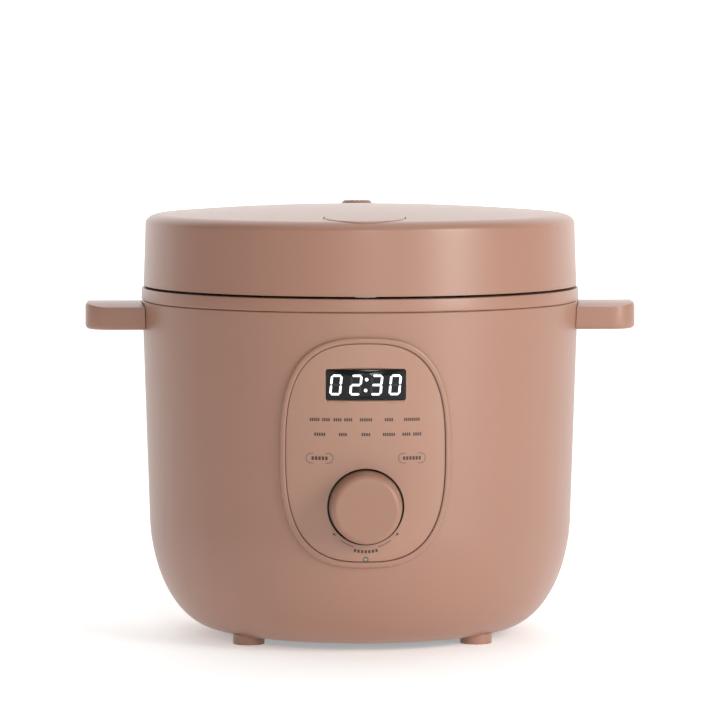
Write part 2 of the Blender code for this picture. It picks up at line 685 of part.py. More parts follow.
def power_board_posts():
    """Four posts on the base cover under the power board."""
    return [(x, y) for x in (-44 * MM, -20 * MM) for y in (-18 * MM, 18 * MM)]


def make_base_cover():
    """The disc that closes the bottom, with vents, screw seats and posts for the power board."""
    profile = [(0.0, COVER_TOP_Z), (COVER_RADIUS, COVER_TOP_Z), (COVER_RADIUS, GROUND_GAP),
               (0.0, GROUND_GAP)]
    cover = turned("base_cover", profile, steps=INNER_STEPS, closed=False)
    for index, (x, y) in enumerate(power_board_posts()):
        join(cover, rod(f"post_{index}", 3 * MM, (x, y, COVER_TOP_Z - 1 * MM), (x, y, POST_TOP_Z),
                        TINY_STEPS, tool=True))
    for index in range(VENT_COUNT):
        slot = box(f"vent_{index}", (22 * MM, -VENT_WIDTH / 2, 0),
                   (22 * MM + VENT_LENGTH, VENT_WIDTH / 2, COVER_TOP_Z + 1 * MM), tool=True)
        slot.rotation_euler = (0, 0, 2 * math.pi * (index + 0.5) / VENT_COUNT)
        cut(cover, slot)
    for index, (x, y) in enumerate(base_screw_places()):
        seat = rod(f"screw_seat_{index}", BASE_SCREW_HEAD + SLIDE_GAP, (x, y, 0),
                   (x, y, GROUND_GAP + BASE_SCREW_SEAT), TINY_STEPS, tool=True)
        hole = rod(f"screw_hole_{index}", BASE_SCREW_RADIUS + FIT_GAP, (x, y, 0),
                   (x, y, COVER_TOP_Z + 1 * MM), TINY_STEPS, tool=True)
        cut(cover, seat, hole)
    return cover


def screw(name, x, y, head_z, head_radius, head_height, shank_radius, shank_length):
    """A pan-head screw pointing up, with a turned recess in its head."""
    head_top = head_z + head_height
    profile = [(0.0, head_top + shank_length), (shank_radius, head_top + shank_length - shank_radius),
               (shank_radius, head_top), (head_radius, head_top),
               (head_radius, head_z + head_height / 3), (head_radius * 0.8, head_z),
               (head_radius * 0.35, head_z), (0.0, head_z + head_height / 2)]
    return turned(name, profile, steps=TINY_STEPS, closed=False, at=(x, y, 0))


def make_foot(name, x, y):
    """A short round foot whose top follows the rounded bottom of the body."""
    foot = rod(name, FOOT_RADIUS, (x, y, 0), (x, y, GROUND_GAP + FOOT_DEPTH), SMALL_STEPS)
    return cut(foot, body_solid(f"{name}_seat", FIT_GAP, CORNER_TOP_Z + 20 * MM))


# ---------------------------------------------------------------------------------------------------
# Cooking well, pot and heater
# ---------------------------------------------------------------------------------------------------

def make_cooking_well():
    """The metal housing around the pot, hung from the collar, with a hole for the thermostat."""
    top = DECK_BOTTOM_Z - FIT_GAP
    floor = WELL_FLOOR_Z + WELL_WALL
    profile = [(WELL_HOLE_RADIUS, floor), (WELL_INNER - WELL_CORNER, floor),
               (WELL_INNER, floor + WELL_CORNER), (WELL_INNER, top), (WELL_OUTER + WELL_LIP, top),
               (WELL_OUTER + WELL_LIP, top - WELL_WALL), (WELL_OUTER, top - WELL_WALL),
               (WELL_OUTER, floor + WELL_CORNER), (WELL_INNER - WELL_CORNER, WELL_FLOOR_Z),
               (WELL_HOLE_RADIUS, WELL_FLOOR_Z)]
    return turned("cooking_well", profile, steps=INNER_STEPS)


def make_inner_pot():
    """The removable pot, with a round lower corner and a flat rim."""
    def corner(radius, centre_z, bend):
        places = [math.pi / 2 * i / 4 for i in range(5)]
        return [(radius - bend + bend * math.sin(a), centre_z - bend * math.cos(a)) for a in places]

    inner_radius = POT_RADIUS - POT_WALL
    centre_z = POT_BOTTOM_Z + POT_CORNER
    inside = corner(inner_radius, centre_z, POT_CORNER - POT_WALL)
    outside = corner(POT_RADIUS, centre_z, POT_CORNER)
    profile = [(0.0, POT_BOTTOM_Z + POT_WALL)] + inside
    profile += [(inner_radius, POT_TOP_Z - 1 * MM), (inner_radius + 1 * MM, POT_TOP_Z),
                (POT_RIM_RADIUS, POT_TOP_Z), (POT_RIM_RADIUS, POT_RIM_Z), (POT_RADIUS, POT_RIM_Z)]
    profile += list(reversed(outside)) + [(0.0, POT_BOTTOM_Z)]
    return turned("inner_pot", profile, steps=INNER_STEPS, closed=False)


def make_heating_plate():
    """The cast plate under the pot, standing on its rim in the well."""
    hole = SENSOR_RADIUS + SENSOR_SIDE_GAP
    profile = [(hole, PLATE_TOP_Z), (PLATE_RADIUS - 1 * MM, PLATE_TOP_Z),
               (PLATE_RADIUS, PLATE_TOP_Z - 1 * MM), (PLATE_RADIUS, PLATE_BASE_Z),
               (PLATE_RADIUS - PLATE_RIM, PLATE_BASE_Z), (PLATE_RADIUS - PLATE_RIM, PLATE_UNDERSIDE_Z),
               (hole, PLATE_UNDERSIDE_Z)]
    return turned("heating_plate", profile, steps=INNER_STEPS)


def make_heating_element():
    """The tubular element: an open ring clamped under the plate."""
    z = PLATE_UNDERSIDE_Z - FIT_GAP - ELEMENT_TUBE_RADIUS
    count = 30
    span = math.radians(330)
    points = [(ELEMENT_RING_RADIUS * math.cos(span * i / count + math.radians(15)),
               ELEMENT_RING_RADIUS * math.sin(span * i / count + math.radians(15)), z)
              for i in range(count + 1)]
    return wire("heating_element", points, ELEMENT_TUBE_RADIUS, resolution=1)


def make_side_heater_band():
    """The keep-warm heater wrapped around the well."""
    inner = WELL_OUTER + 0.5 * MM
    top = BODY_TOP_Z - BAND_DROP
    profile = [(inner + BAND_WALL, top), (inner + BAND_WALL, top - BAND_HEIGHT),
               (inner, top - BAND_HEIGHT), (inner, top)]
    return turned("side_heater_band", profile, steps=INNER_STEPS)


def make_thermostat():
    """The sprung sensor under the pot, its spring and the bracket that holds them."""
    stem_end = SENSOR_TOP_Z - SENSOR_CAP - SENSOR_STEM
    shoulder = SENSOR_TOP_Z - SENSOR_CAP
    profile = [(0.0, SENSOR_TOP_Z), (SENSOR_RADIUS - 1 * MM, SENSOR_TOP_Z),
               (SENSOR_RADIUS, SENSOR_TOP_Z - 1 * MM), (SENSOR_RADIUS, shoulder),
               (SENSOR_STEM_RADIUS, shoulder), (SENSOR_STEM_RADIUS, stem_end), (0.0, stem_end)]
    sensor = turned("thermostat_sensor", profile, steps=SMALL_STEPS, closed=False)
    low = BRACKET_TOP_Z - BRACKET_DEPTH
    inner = BRACKET_RADIUS - BRACKET_WALL
    profile = [(0.0, BRACKET_FLOOR_Z), (inner, BRACKET_FLOOR_Z), (inner, BRACKET_TOP_Z),
               (BRACKET_RADIUS, BRACKET_TOP_Z), (BRACKET_RADIUS, low), (0.0, low)]
    turned("thermostat_bracket", profile, steps=DISC_STEPS, closed=False)
    coil("thermostat_spring", SENSOR_SPRING_RADIUS, 0.6 * MM, (0, 0, BRACKET_FLOOR_Z + FIT_GAP),
         (0, 0, shoulder - FIT_GAP), turns=4)
    return sensor


def make_thermal_fuse():
    """The fuse held against the underside of the plate."""
    z = PLATE_UNDERSIDE_Z - FIT_GAP - 1.9 * MM
    y = (WELL_HOLE_RADIUS + ELEMENT_RING_RADIUS) / 2
    return rod("thermal_fuse", 1.9 * MM, (-7 * MM, y, z), (7 * MM, y, z), TINY_STEPS)


# ---------------------------------------------------------------------------------------------------
# Control panel and dial
# ---------------------------------------------------------------------------------------------------

def make_panel_frame():
    """The raised frame: a bead outside the shell, a sleeve through it and a lip behind the face."""
    front, back = -BODY_RADIUS * 1.2, -BODY_RADIUS / 2
    bead = plate("control_panel_bezel",
                 [superellipse(FRAME_OUTER_WIDTH, FRAME_OUTER_HEIGHT, PANEL_MIDDLE_Z),
                  superellipse(FRAME_INNER_WIDTH, FRAME_INNER_HEIGHT, PANEL_MIDDLE_Z)], front, back)
    keep(bead, body_skin("bead_skin", FIT_GAP, FRAME_PROUD))
    sleeve_gap = 2 * FIT_GAP
    sleeve = plate("sleeve",
                   [superellipse(OPENING_WIDTH - sleeve_gap, OPENING_HEIGHT - sleeve_gap,
                                 PANEL_MIDDLE_Z),
                    superellipse(FRAME_INNER_WIDTH + 0.2 * MM, FRAME_INNER_HEIGHT + 0.2 * MM,
                                 PANEL_MIDDLE_Z)], front, back, tool=True)
    keep(sleeve, body_skin("sleeve_skin", -SLEEVE_DEPTH, (FIT_GAP + FRAME_PROUD) / 2))
    lip = plate("lip",
                [superellipse(OPENING_WIDTH - sleeve_gap - 0.4 * MM,
                              OPENING_HEIGHT - sleeve_gap - 0.4 * MM, PANEL_MIDDLE_Z),
                 superellipse(FRAME_INNER_WIDTH - 2 * LIP_WIDTH, FRAME_INNER_HEIGHT - 2 * LIP_WIDTH,
                              PANEL_MIDDLE_Z)], front, back, tool=True)
    lip_front = PANEL_PROUD - PANEL_THICKNESS - FIT_GAP
    keep(lip, body_skin("lip_skin", -SLEEVE_DEPTH + 0.2 * MM, lip_front))
    join(bead, sleeve, lip)
    return cut(bead, rod("light_notch", LIGHT_RADIUS + SLIDE_GAP, (0, back, LIGHT_Z),
                         (0, -body_radius(LIGHT_Z) + 1 * MM, LIGHT_Z), TINY_STEPS, tool=True))


def board_post_places():
    """Where the panel face's posts meet the control board."""
    reach = DIAL_RING_RADIUS + DIAL_POST_CLEARANCE
    beside_dial = (reach * math.cos(DIAL_POST_ANGLE), KNOB_Z - reach * math.sin(DIAL_POST_ANGLE))
    above_display = (BOARD_HALF_WIDTH / 2,
                     DISPLAY_Z + DISPLAY_HEIGHT / 2 + DISPLAY_POST_GAP + BOARD_POST_RADIUS)
    return [(side * x, z) for side in (-1, 1) for x, z in (beside_dial, above_display)]


def make_panel_face():
    """The curved face plate, with the display, dial and light openings and posts for the board."""
    front, back = -BODY_RADIUS * 1.2, -BODY_RADIUS / 2
    gap = 2 * FIT_GAP
    face = plate("control_panel_face",
                 [superellipse(FRAME_INNER_WIDTH - gap, FRAME_INNER_HEIGHT - gap, PANEL_MIDDLE_Z)],
                 front, back)
    keep(face, body_skin("face_skin", PANEL_PROUD - PANEL_THICKNESS, PANEL_PROUD))
    for index, (x, z) in enumerate(board_post_places()):
        surface = math.sqrt(body_radius(z) ** 2 - x * x)
        join(face, rod(f"board_post_{index}", BOARD_POST_RADIUS, (x, -BOARD_FRONT - FIT_GAP, z),
                       (x, -surface, z), TINY_STEPS, tool=True))
    window = rounded_box(DISPLAY_WIDTH + gap, DISPLAY_HEIGHT + gap, DISPLAY_CORNER + FIT_GAP,
                         (0, DISPLAY_Z))
    cut(face, plate("window_opening", [window], front, -BOARD_FRONT, tool=True))
    cut(face, rod("dial_opening", DIAL_RING_RADIUS + FIT_GAP, (0, front, KNOB_Z),
                  (0, -BOARD_FRONT, KNOB_Z), DISC_STEPS, tool=True))
    cut(face, rod("light_opening", LIGHT_RADIUS + FIT_GAP, (0, front, LIGHT_Z),
                  (0, -BOARD_FRONT, LIGHT_Z), TINY_STEPS, tool=True))
    return face


def make_dial_ring():
    """The ring that lines the face's opening for the dial and follows the panel's curve."""
    front = -BODY_RADIUS * 1.2
    ring = rod("dial_ring", DIAL_RING_RADIUS, (0, front, KNOB_Z), (0, -BOARD_FRONT, KNOB_Z), DISC_STEPS)
    keep(ring, body_skin("ring_skin", PANEL_PROUD - PANEL_THICKNESS, PANEL_PROUD))
    return cut(ring, rod("ring_hole", DIAL_HOLE_RADIUS, (0, front, KNOB_Z), (0, -BOARD_FRONT, KNOB_Z),
                         DISC_STEPS, tool=True))


def make_display():
    """The dark window in the face and the display module behind it."""
    front, back = -BODY_RADIUS * 1.2, -BODY_RADIUS / 2
    window = plate("display_window",
                   [rounded_box(DISPLAY_WIDTH, DISPLAY_HEIGHT, DISPLAY_CORNER, (0, DISPLAY_Z))],
                   front, back)
    keep(window, body_skin("window_skin", PANEL_PROUD - PANEL_THICKNESS + 0.2 * MM,
                           PANEL_PROUD + 0.05 * MM))
    half = DISPLAY_WIDTH / 2 + 1.5 * MM
    skin_at_edge = math.sqrt((body_radius(DISPLAY_Z - DISPLAY_HEIGHT) - 1.2 * MM) ** 2 - half ** 2)
    box("display_module", (-half, -skin_at_edge + 0.6 * MM, DISPLAY_Z - DISPLAY_HEIGHT / 2 - 1 * MM),
        (half, -BOARD_FRONT - FIT_GAP, DISPLAY_Z + DISPLAY_HEIGHT / 2 + 1 * MM))
    return window


def make_control_board():
    """The printed circuit board behind the panel, with a narrow tongue down to the light."""
    half = BOARD_HALF_WIDTH
    top = DISPLAY_Z + DISPLAY_HEIGHT / 2 + 6 * MM
    neck = KNOB_Z - 11 * MM
    low = LIGHT_Z - 3 * MM
    tongue = 10 * MM
    outline = [(-half, top), (-half, neck), (-tongue, neck), (-tongue, low), (tongue, low),
               (tongue, neck), (half, neck), (half, top)]
    return plate("control_board", [outline], -BOARD_FRONT, -BOARD_BACK)


def make_light_pipe():
    """The clear pipe that carries the indicator light to the panel's face."""
    return rod("indicator_light_pipe", LIGHT_RADIUS,
               (0, -body_radius(LIGHT_Z) - PANEL_PROUD - 0.05 * MM, LIGHT_Z),
               (0, -BOARD_FRONT - FIT_GAP, LIGHT_Z), TINY_STEPS)


def make_touch_springs():
    """The two contact springs that carry a touch from the face to the board."""
    surface = math.sqrt((body_radius(KEY_Z) + PANEL_PROUD - PANEL_THICKNESS) ** 2
                        - (KEY_SPACING + 4.5 * MM) ** 2)
    for name, side in (("touch_spring_left", -1), ("touch_spring_right", 1)):
        x = side * KEY_SPACING
        coil(name, 3.6 * MM, 0.4 * MM, (x, -BOARD_FRONT - FIT_GAP, KEY_Z),
             (x, -surface + 0.5 * MM, KEY_Z), turns=3)


def make_dial():
    """Encoder housing and rotor, the shaft, and the dial knob on it."""
    half = ENCODER_SIZE / 2
    cavity_front = ENCODER_FRONT - 0.8 * MM
    cavity_back = ENCODER_BACK + 1.0 * MM
    housing = box("encoder_housing", (-half, -ENCODER_FRONT, KNOB_Z - half),
                  (half, -ENCODER_BACK, KNOB_Z + half))
    join(housing, rod("bushing", BUSHING_RADIUS, (0, -ENCODER_FRONT - BUSHING_LENGTH, KNOB_Z),
                      (0, -cavity_front, KNOB_Z), SMALL_STEPS, tool=True))
    cut(housing, rod("encoder_cavity", ROTOR_RADIUS + FIT_GAP, (0, -cavity_front, KNOB_Z),
                     (0, -cavity_back, KNOB_Z), SMALL_STEPS, tool=True))
    cut(housing, rod("encoder_bore", SHAFT_RADIUS + SLIDE_GAP,
                     (0, -ENCODER_FRONT - BUSHING_LENGTH - 1 * MM, KNOB_Z),
                     (0, -(cavity_front + cavity_back) / 2, KNOB_Z), SMALL_STEPS, tool=True))

    profile = [(ROTOR_RADIUS, cavity_front - FIT_GAP), (ROTOR_RADIUS, cavity_back + FIT_GAP),
               (SHAFT_RADIUS + SLIDE_GAP, cavity_back + FIT_GAP),
               (SHAFT_RADIUS + SLIDE_GAP, cavity_front - FIT_GAP)]
    turned("encoder_rotor", profile, steps=SMALL_STEPS, at=(0, 0, KNOB_Z), facing="front")

    bore_end = KNOB_FRONT - 4.5 * MM
    rod("knob_shaft", SHAFT_RADIUS, (0, -bore_end + FIT_GAP, KNOB_Z),
        (0, -(cavity_back + KNOB_PUSH + FIT_GAP), KNOB_Z), SMALL_STEPS)

    front_radius = KNOB_RADIUS - KNOB_DRAFT
    ceiling = KNOB_FRONT - 3.0 * MM
    boss_end = ENCODER_FRONT + BUSHING_LENGTH + KNOB_PUSH + 1.2 * MM
    bore = SHAFT_RADIUS + FIT_GAP
    edge = [(front_radius - KNOB_EDGE + KNOB_EDGE * math.sin(a),
             KNOB_FRONT - KNOB_EDGE + KNOB_EDGE * math.cos(a))
            for a in (math.pi / 2 * i / 3 for i in range(4))]
    profile = [(0.0, KNOB_FRONT)] + edge
    profile += [(KNOB_RADIUS, KNOB_BACK), (KNOB_RADIUS - KNOB_WALL, KNOB_BACK),
                (front_radius - KNOB_WALL, ceiling), (KNOB_BOSS_RADIUS, ceiling),
                (KNOB_BOSS_RADIUS, boss_end), (bore, boss_end), (bore, bore_end), (0.0, bore_end)]
    return turned("control_knob", profile, steps=DISC_STEPS, closed=False, at=(0, 0, KNOB_Z),
                  facing="front")


# ---------------------------------------------------------------------------------------------------
# Mains side
# ---------------------------------------------------------------------------------------------------

def make_power_board():
    """The power board under the well, with its relay and its transformer."""
    low = POST_TOP_Z + FIT_GAP
    board = box("power_board", (-49 * MM, -24 * MM, low), (-15 * MM, 24 * MM, low + 1.6 * MM))
    relay = box("relay", (-46 * MM, -12 * MM, low + 1 * MM), (-30 * MM, 8 * MM, low + 8.5 * MM),
                tool=True)
    converter = box("converter", (-36 * MM, 11 * MM, low + 1 * MM), (-29 * MM, 21 * MM, low + 7 * MM),
                    tool=True)
    return join(board, relay, converter)


def make_inlet():
    """The mains socket at the rear: a curved flange, a box with a socket in it and three pins."""
    wide, high = INLET_WIDTH, INLET_HEIGHT
    flange = plate("power_inlet", [rounded_box(wide + 2 * INLET_FLANGE, high + 2 * INLET_FLANGE,
                                               4 * MM, (0, INLET_Z))],
                   BODY_RADIUS / 2, BODY_RADIUS * 1.2)
    keep(flange, body_skin_low("flange_skin", FIT_GAP, INLET_FLANGE_PROUD))
    back = WELL_OUTER + 0.8 * MM
    edge = INLET_Z - high / 2
    mouth = body_radius(edge) - 1.0 * MM
    core = plate("inlet_core", [rounded_box(wide, high, 2.5 * MM, (0, INLET_Z))], back, BODY_RADIUS * 1.2,
                 tool=True)
    keep(core, body_solid("inlet_core_front", INLET_FLANGE_PROUD - 0.1 * MM, BODY_TOP_Z))
    join(flange, core)
    socket = plate("inlet_socket", [rounded_box(wide - 2 * INLET_WALL, high - 2 * INLET_WALL, 2 * MM,
                                                (0, INLET_Z))],
                   back + INLET_WALL, BODY_RADIUS * 1.2, tool=True)
    cut(flange, socket)
    start = back + INLET_WALL + FIT_GAP
    for name, x, z in (("inlet_pin_live", -PIN_PITCH, -2 * MM), ("inlet_pin_neutral", PIN_PITCH, -2 * MM),
                       ("inlet_pin_earth", 0.0, 2 * MM)):
        box(name, (x - 1 * MM, start, INLET_Z + z - 2 * MM), (x + 1 * MM, mouth, INLET_Z + z + 2 * MM))
    return flange


def body_skin_low(name, inner, outer):
    """As body_skin, for pieces that reach further down the rounded corner."""
    low_z = INLET_Z - INLET_HEIGHT / 2 - 2 * INLET_FLANGE
    profile = body_line(outer, BODY_TOP_Z, low_z) + list(reversed(body_line(inner, BODY_TOP_Z, low_z)))
    return turned(name, profile, tool=True)


# ---------------------------------------------------------------------------------------------------
# Lid
# ---------------------------------------------------------------------------------------------------

def lid_screw_places():
    """Four screws from the liner up into the lid."""
    radius = LID_RADIUS - LID_SCREW_INSET
    return [(radius * math.cos(math.radians(a)), radius * math.sin(math.radians(a)))
            for a in (45, 135, 225, 315)]


def make_lid_cover():
    """The domed lid: skirt and dome, button cup, screw bosses, hinge barrels and the vent hole."""
    inner = lid_line(-LID_WALL)
    inner[-1] = (LID_RADIUS - LID_WALL, LID_BOTTOM_Z)
    cover = turned("lid_cover", lid_line(0.0) + list(reversed(inner)), closed=False)

    cup_radius = BUTTON_RADIUS + SLIDE_GAP
    cup_low = CUP_TOP_Z - CUP_FLOOR
    cup_high = CROWN_Z + 5 * MM
    cup = rod("button_cup", cup_radius + CUP_WALL, (0, BUTTON_Y, cup_low), (0, BUTTON_Y, cup_high),
              DISC_STEPS, tool=True)
    keep(cup, lid_solid("cup_limit", -LID_WALL / 3))
    join(cover, cup)
    for index, (x, y) in enumerate(lid_screw_places()):
        join(cover, rod(f"boss_{index}", 3.2 * MM, (x, y, LINER_TOP_Z + FIT_GAP),
                        (x, y, DOME_EDGE_Z - 1.7 * MM), TINY_STEPS, tool=True))

    skirt_middle = turned("web_limit", [(0.0, CROWN_Z), (LID_RADIUS - LID_WALL / 2, CROWN_Z),
                                        (LID_RADIUS - LID_WALL / 2, 0.0), (0.0, 0.0)],
                          closed=False, tool=True)
    for side in (-1, 1):
        x = sorted((side * BARREL_INNER_X, side * BARREL_OUTER_X))
        web = box(f"web_{side}", (x[0], LID_RADIUS * 0.9, HINGE_Z + 1.0 * MM),
                  (x[1], HINGE_Y, HINGE_Z + 4.4 * MM), tool=True)
        cut(web, skirt_middle)
        barrel = rod(f"barrel_{side}", BARREL_RADIUS, (x[0], HINGE_Y, HINGE_Z), (x[1], HINGE_Y, HINGE_Z),
                     SMALL_STEPS, tool=True)
        join(cover, web, barrel)
    cut(cover, rod("barrel_bore", PIN_RADIUS + FIT_GAP, (-BARREL_OUTER_X - 1 * MM, HINGE_Y, HINGE_Z),
                   (BARREL_OUTER_X + 1 * MM, HINGE_Y, HINGE_Z), TINY_STEPS, tool=True))

    cut(cover, rod("button_hole", cup_radius, (0, BUTTON_Y, CUP_TOP_Z),
                   (0, BUTTON_Y, cup_high), DISC_STEPS, tool=True))
    gap = SLIDE_GAP
    cut(cover, box("stem_hole", (-STEM_WIDTH / 2 - gap, STEM_FRONT_Y - gap, cup_low - 1 * MM),
                   (STEM_WIDTH / 2 + gap, STEM_BACK_Y + gap, CUP_TOP_Z + 1 * MM), tool=True))
    cut(cover, rod("vent_hole", CAP_PLUG_RADIUS + SLIDE_GAP, (0, VENT_Y, SHOULDER_Z),
                   (0, VENT_Y, CROWN_Z + 5 * MM), SMALL_STEPS, tool=True))
    for index, (x, y) in enumerate(lid_screw_places()):
        cut(cover, rod(f"boss_hole_{index}", LID_SCREW_RADIUS + FIT_GAP, (x, y, LINER_TOP_Z),
                       (x, y, LINER_TOP_Z + 11 * MM), TINY_STEPS, tool=True))
    return cover


def make_liner():
    """The plastic underside of the lid, with guides for the latch and holes for what passes."""
    skirt = LID_RADIUS - LID_DRAFT * (LINER_TOP_Z - LID_BOTTOM_Z) / LID_SKIRT - LID_WALL
    radius = skirt - SLIDE_GAP
    profile = [(0.0, LINER_TOP_Z), (radius, LINER_TOP_Z), (radius, LINER_Z - LINER_LIP),
               (radius - LINER_THICKNESS, LINER_Z - LINER_LIP), (radius - LINER_THICKNESS, LINER_Z),
               (0.0, LINER_Z)]
    liner = turned("lid_liner", profile, steps=INNER_STEPS, closed=False)
    half = LATCH_WIDTH / 2
    for side in (-1, 1):
        x = sorted((side * (half + SLIDE_GAP), side * (half + SLIDE_GAP + 1.5 * MM)))
        guide = box(f"latch_guide_{side}", (x[0], LATCH_FRONT_Y + 4 * MM, LINER_TOP_Z - 1 * MM),
                    (x[1], LATCH_BACK_Y + BUTTON_TRAVEL, LATCH_TOP_Z + 2 * MM), tool=True)
        join(liner, guide)
    passage = CATCH_WIDTH / 2 + CATCH_PASSAGE
    cut(liner, box("liner_slot", (-passage, CATCH_FRONT_Y - CATCH_PASSAGE, LINER_Z - 5 * MM),
                   (passage, CATCH_NOSE_Y + CATCH_PASSAGE, LINER_TOP_Z + 1 * MM), tool=True))
    cut(liner, rod("nozzle_hole", NOZZLE_RADIUS + FIT_GAP, (0, VENT_Y, LINER_Z - 1 * MM),
                   (0, VENT_Y, LINER_TOP_Z + 1 * MM), SMALL_STEPS, tool=True))
    cut(liner, rod("clip_hole", CLIP_STEM_RADIUS + FIT_GAP, (0, 0, LINER_Z - 1 * MM),
                   (0, 0, LINER_TOP_Z + 1 * MM), TINY_STEPS, tool=True))
    for index, (x, y) in enumerate(lid_screw_places()):
        cut(liner, rod(f"liner_hole_{index}", LID_SCREW_RADIUS + FIT_GAP, (x, y, LINER_Z - 1 * MM),
                       (x, y, LINER_TOP_Z + 1 * MM), TINY_STEPS, tool=True))
    return liner


def make_inner_lid():
    """The removable aluminium plate, the gasket around it and the clip that holds it."""
    disc = turned("inner_lid_plate", [(0.0, INNER_PLATE_TOP_Z), (INNER_PLATE_RADIUS, INNER_PLATE_TOP_Z),
                                      (INNER_PLATE_RADIUS, INNER_PLATE_Z), (0.0, INNER_PLATE_Z)],
                  steps=INNER_STEPS, closed=False)
    cut(disc, rod("clip_opening", CLIP_STEM_RADIUS + FIT_GAP, (0, 0, INNER_PLATE_Z - 1 * MM),
                  (0, 0, INNER_PLATE_TOP_Z + 1 * MM), TINY_STEPS, tool=True))
    cut(disc, rod("steam_opening", STEAM_HOLE, (0, VENT_Y, INNER_PLATE_Z - 1 * MM),
                  (0, VENT_Y, INNER_PLATE_TOP_Z + 1 * MM), TINY_STEPS, tool=True))
    inner = GASKET_RADIUS - GASKET_WALL
    lip_z = GASKET_BOTTOM_Z + GASKET_LIP
    turned("lid_gasket", [(GASKET_RADIUS, GASKET_TOP_Z), (GASKET_RADIUS, GASKET_BOTTOM_Z),
                          (inner - GASKET_LIP_WIDTH, GASKET_BOTTOM_Z), (inner - GASKET_LIP_WIDTH, lip_z),
                          (inner, lip_z), (inner, GASKET_TOP_Z)], steps=INNER_STEPS)
    head = INNER_PLATE_Z - FIT_GAP
    barb = LINER_TOP_Z + FIT_GAP
    profile = [(0.0, barb + 4 * MM), (CLIP_STEM_RADIUS, barb + 4 * MM), (CLIP_STEM_RADIUS + 1.4 * MM, barb),
               (CLIP_STEM_RADIUS, barb), (CLIP_STEM_RADIUS, head), (CLIP_HEAD_RADIUS, head),
               (CLIP_HEAD_RADIUS, head - 1.2 * MM), (CLIP_HEAD_RADIUS - 1.2 * MM, head - 2.4 * MM),
               (0.0, head - 2.4 * MM)]
    turned("inner_lid_clip", profile, steps=SMALL_STEPS, closed=False)
    return disc


def make_button():
    """The open button: a disc that follows the lid's surface on a wedge-tipped stem."""
    button = rod("lid_button", BUTTON_RADIUS, (0, BUTTON_Y, CUP_TOP_Z), (0, BUTTON_Y, CROWN_Z + 5 * MM),
                 DISC_STEPS)
    keep(button, lid_solid("button_top", BUTTON_PROUD))
    cut(button, lid_solid("button_underside", BUTTON_PROUD - BUTTON_THICKNESS))
    top = CROWN_Z - DOME_RISE * (BUTTON_Y / DOME_RADIUS) ** 2 + BUTTON_PROUD - BUTTON_THICKNESS / 2
    outline = [(STEM_FRONT_Y, top), (STEM_FRONT_Y, STEM_TIP_Z), (STEM_BACK_Y - WEDGE, STEM_TIP_Z),
               (STEM_BACK_Y, STEM_TIP_Z + WEDGE), (STEM_BACK_Y, top)]
    join(button, plate("stem", [outline], -STEM_WIDTH / 2, STEM_WIDTH / 2, axis="x", tool=True))
    spring_top = top - BUTTON_THICKNESS / 2 - 0.9 * MM
    coil("button_spring", BUTTON_SPRING_RADIUS, 0.45 * MM, (0, BUTTON_Y, CUP_TOP_Z + FIT_GAP),
         (0, BUTTON_Y, spring_top), turns=3)
    return button


def make_latch():
    """The latch plate that slides in the lid, with a ramp under the button's wedge, and its catch.

    The catch stands on the collar and reaches up through the liner, with its nose over the plate.
    """
    latch = box("lid_latch", (-LATCH_WIDTH / 2, LATCH_FRONT_Y, LATCH_Z),
                (LATCH_WIDTH / 2, LATCH_BACK_Y, LATCH_TOP_Z))
    ramp_top_y = STEM_BACK_Y - WEDGE + (LATCH_TOP_Z - STEM_TIP_Z) + 0.45 * MM
    low, high = LATCH_Z - 1 * MM, LATCH_TOP_Z + 1 * MM
    window = [(STEM_FRONT_Y - BUTTON_TRAVEL - 0.8 * MM, low), (ramp_top_y - (LATCH_TOP_Z - low), low),
              (ramp_top_y + (high - LATCH_TOP_Z), high), (STEM_FRONT_Y - BUTTON_TRAVEL - 0.8 * MM, high)]
    half = STEM_WIDTH / 2 + 0.6 * MM
    cut(latch, plate("latch_window", [window], -half, half, axis="x", tool=True))
    foot_z = COLLAR_TOP_Z + FIT_GAP
    ankle_z = foot_z + CATCH_FOOT
    nose_z = LATCH_TOP_Z + SLIDE_GAP
    outline = [(CATCH_FRONT_Y - CATCH_FOOT, foot_z), (CATCH_NOSE_Y, foot_z), (CATCH_NOSE_Y, ankle_z),
               (CATCH_BACK_Y, ankle_z), (CATCH_BACK_Y, nose_z), (CATCH_NOSE_Y, nose_z),
               (CATCH_NOSE_Y, nose_z + CATCH_NOSE_HEIGHT / 3),
               (CATCH_BACK_Y, nose_z + CATCH_NOSE_HEIGHT), (CATCH_FRONT_Y, nose_z + CATCH_NOSE_HEIGHT),
               (CATCH_FRONT_Y, ankle_z), (CATCH_FRONT_Y - CATCH_FOOT, ankle_z)]
    plate("latch_catch", [outline], -CATCH_WIDTH / 2, CATCH_WIDTH / 2, axis="x")
    return latch


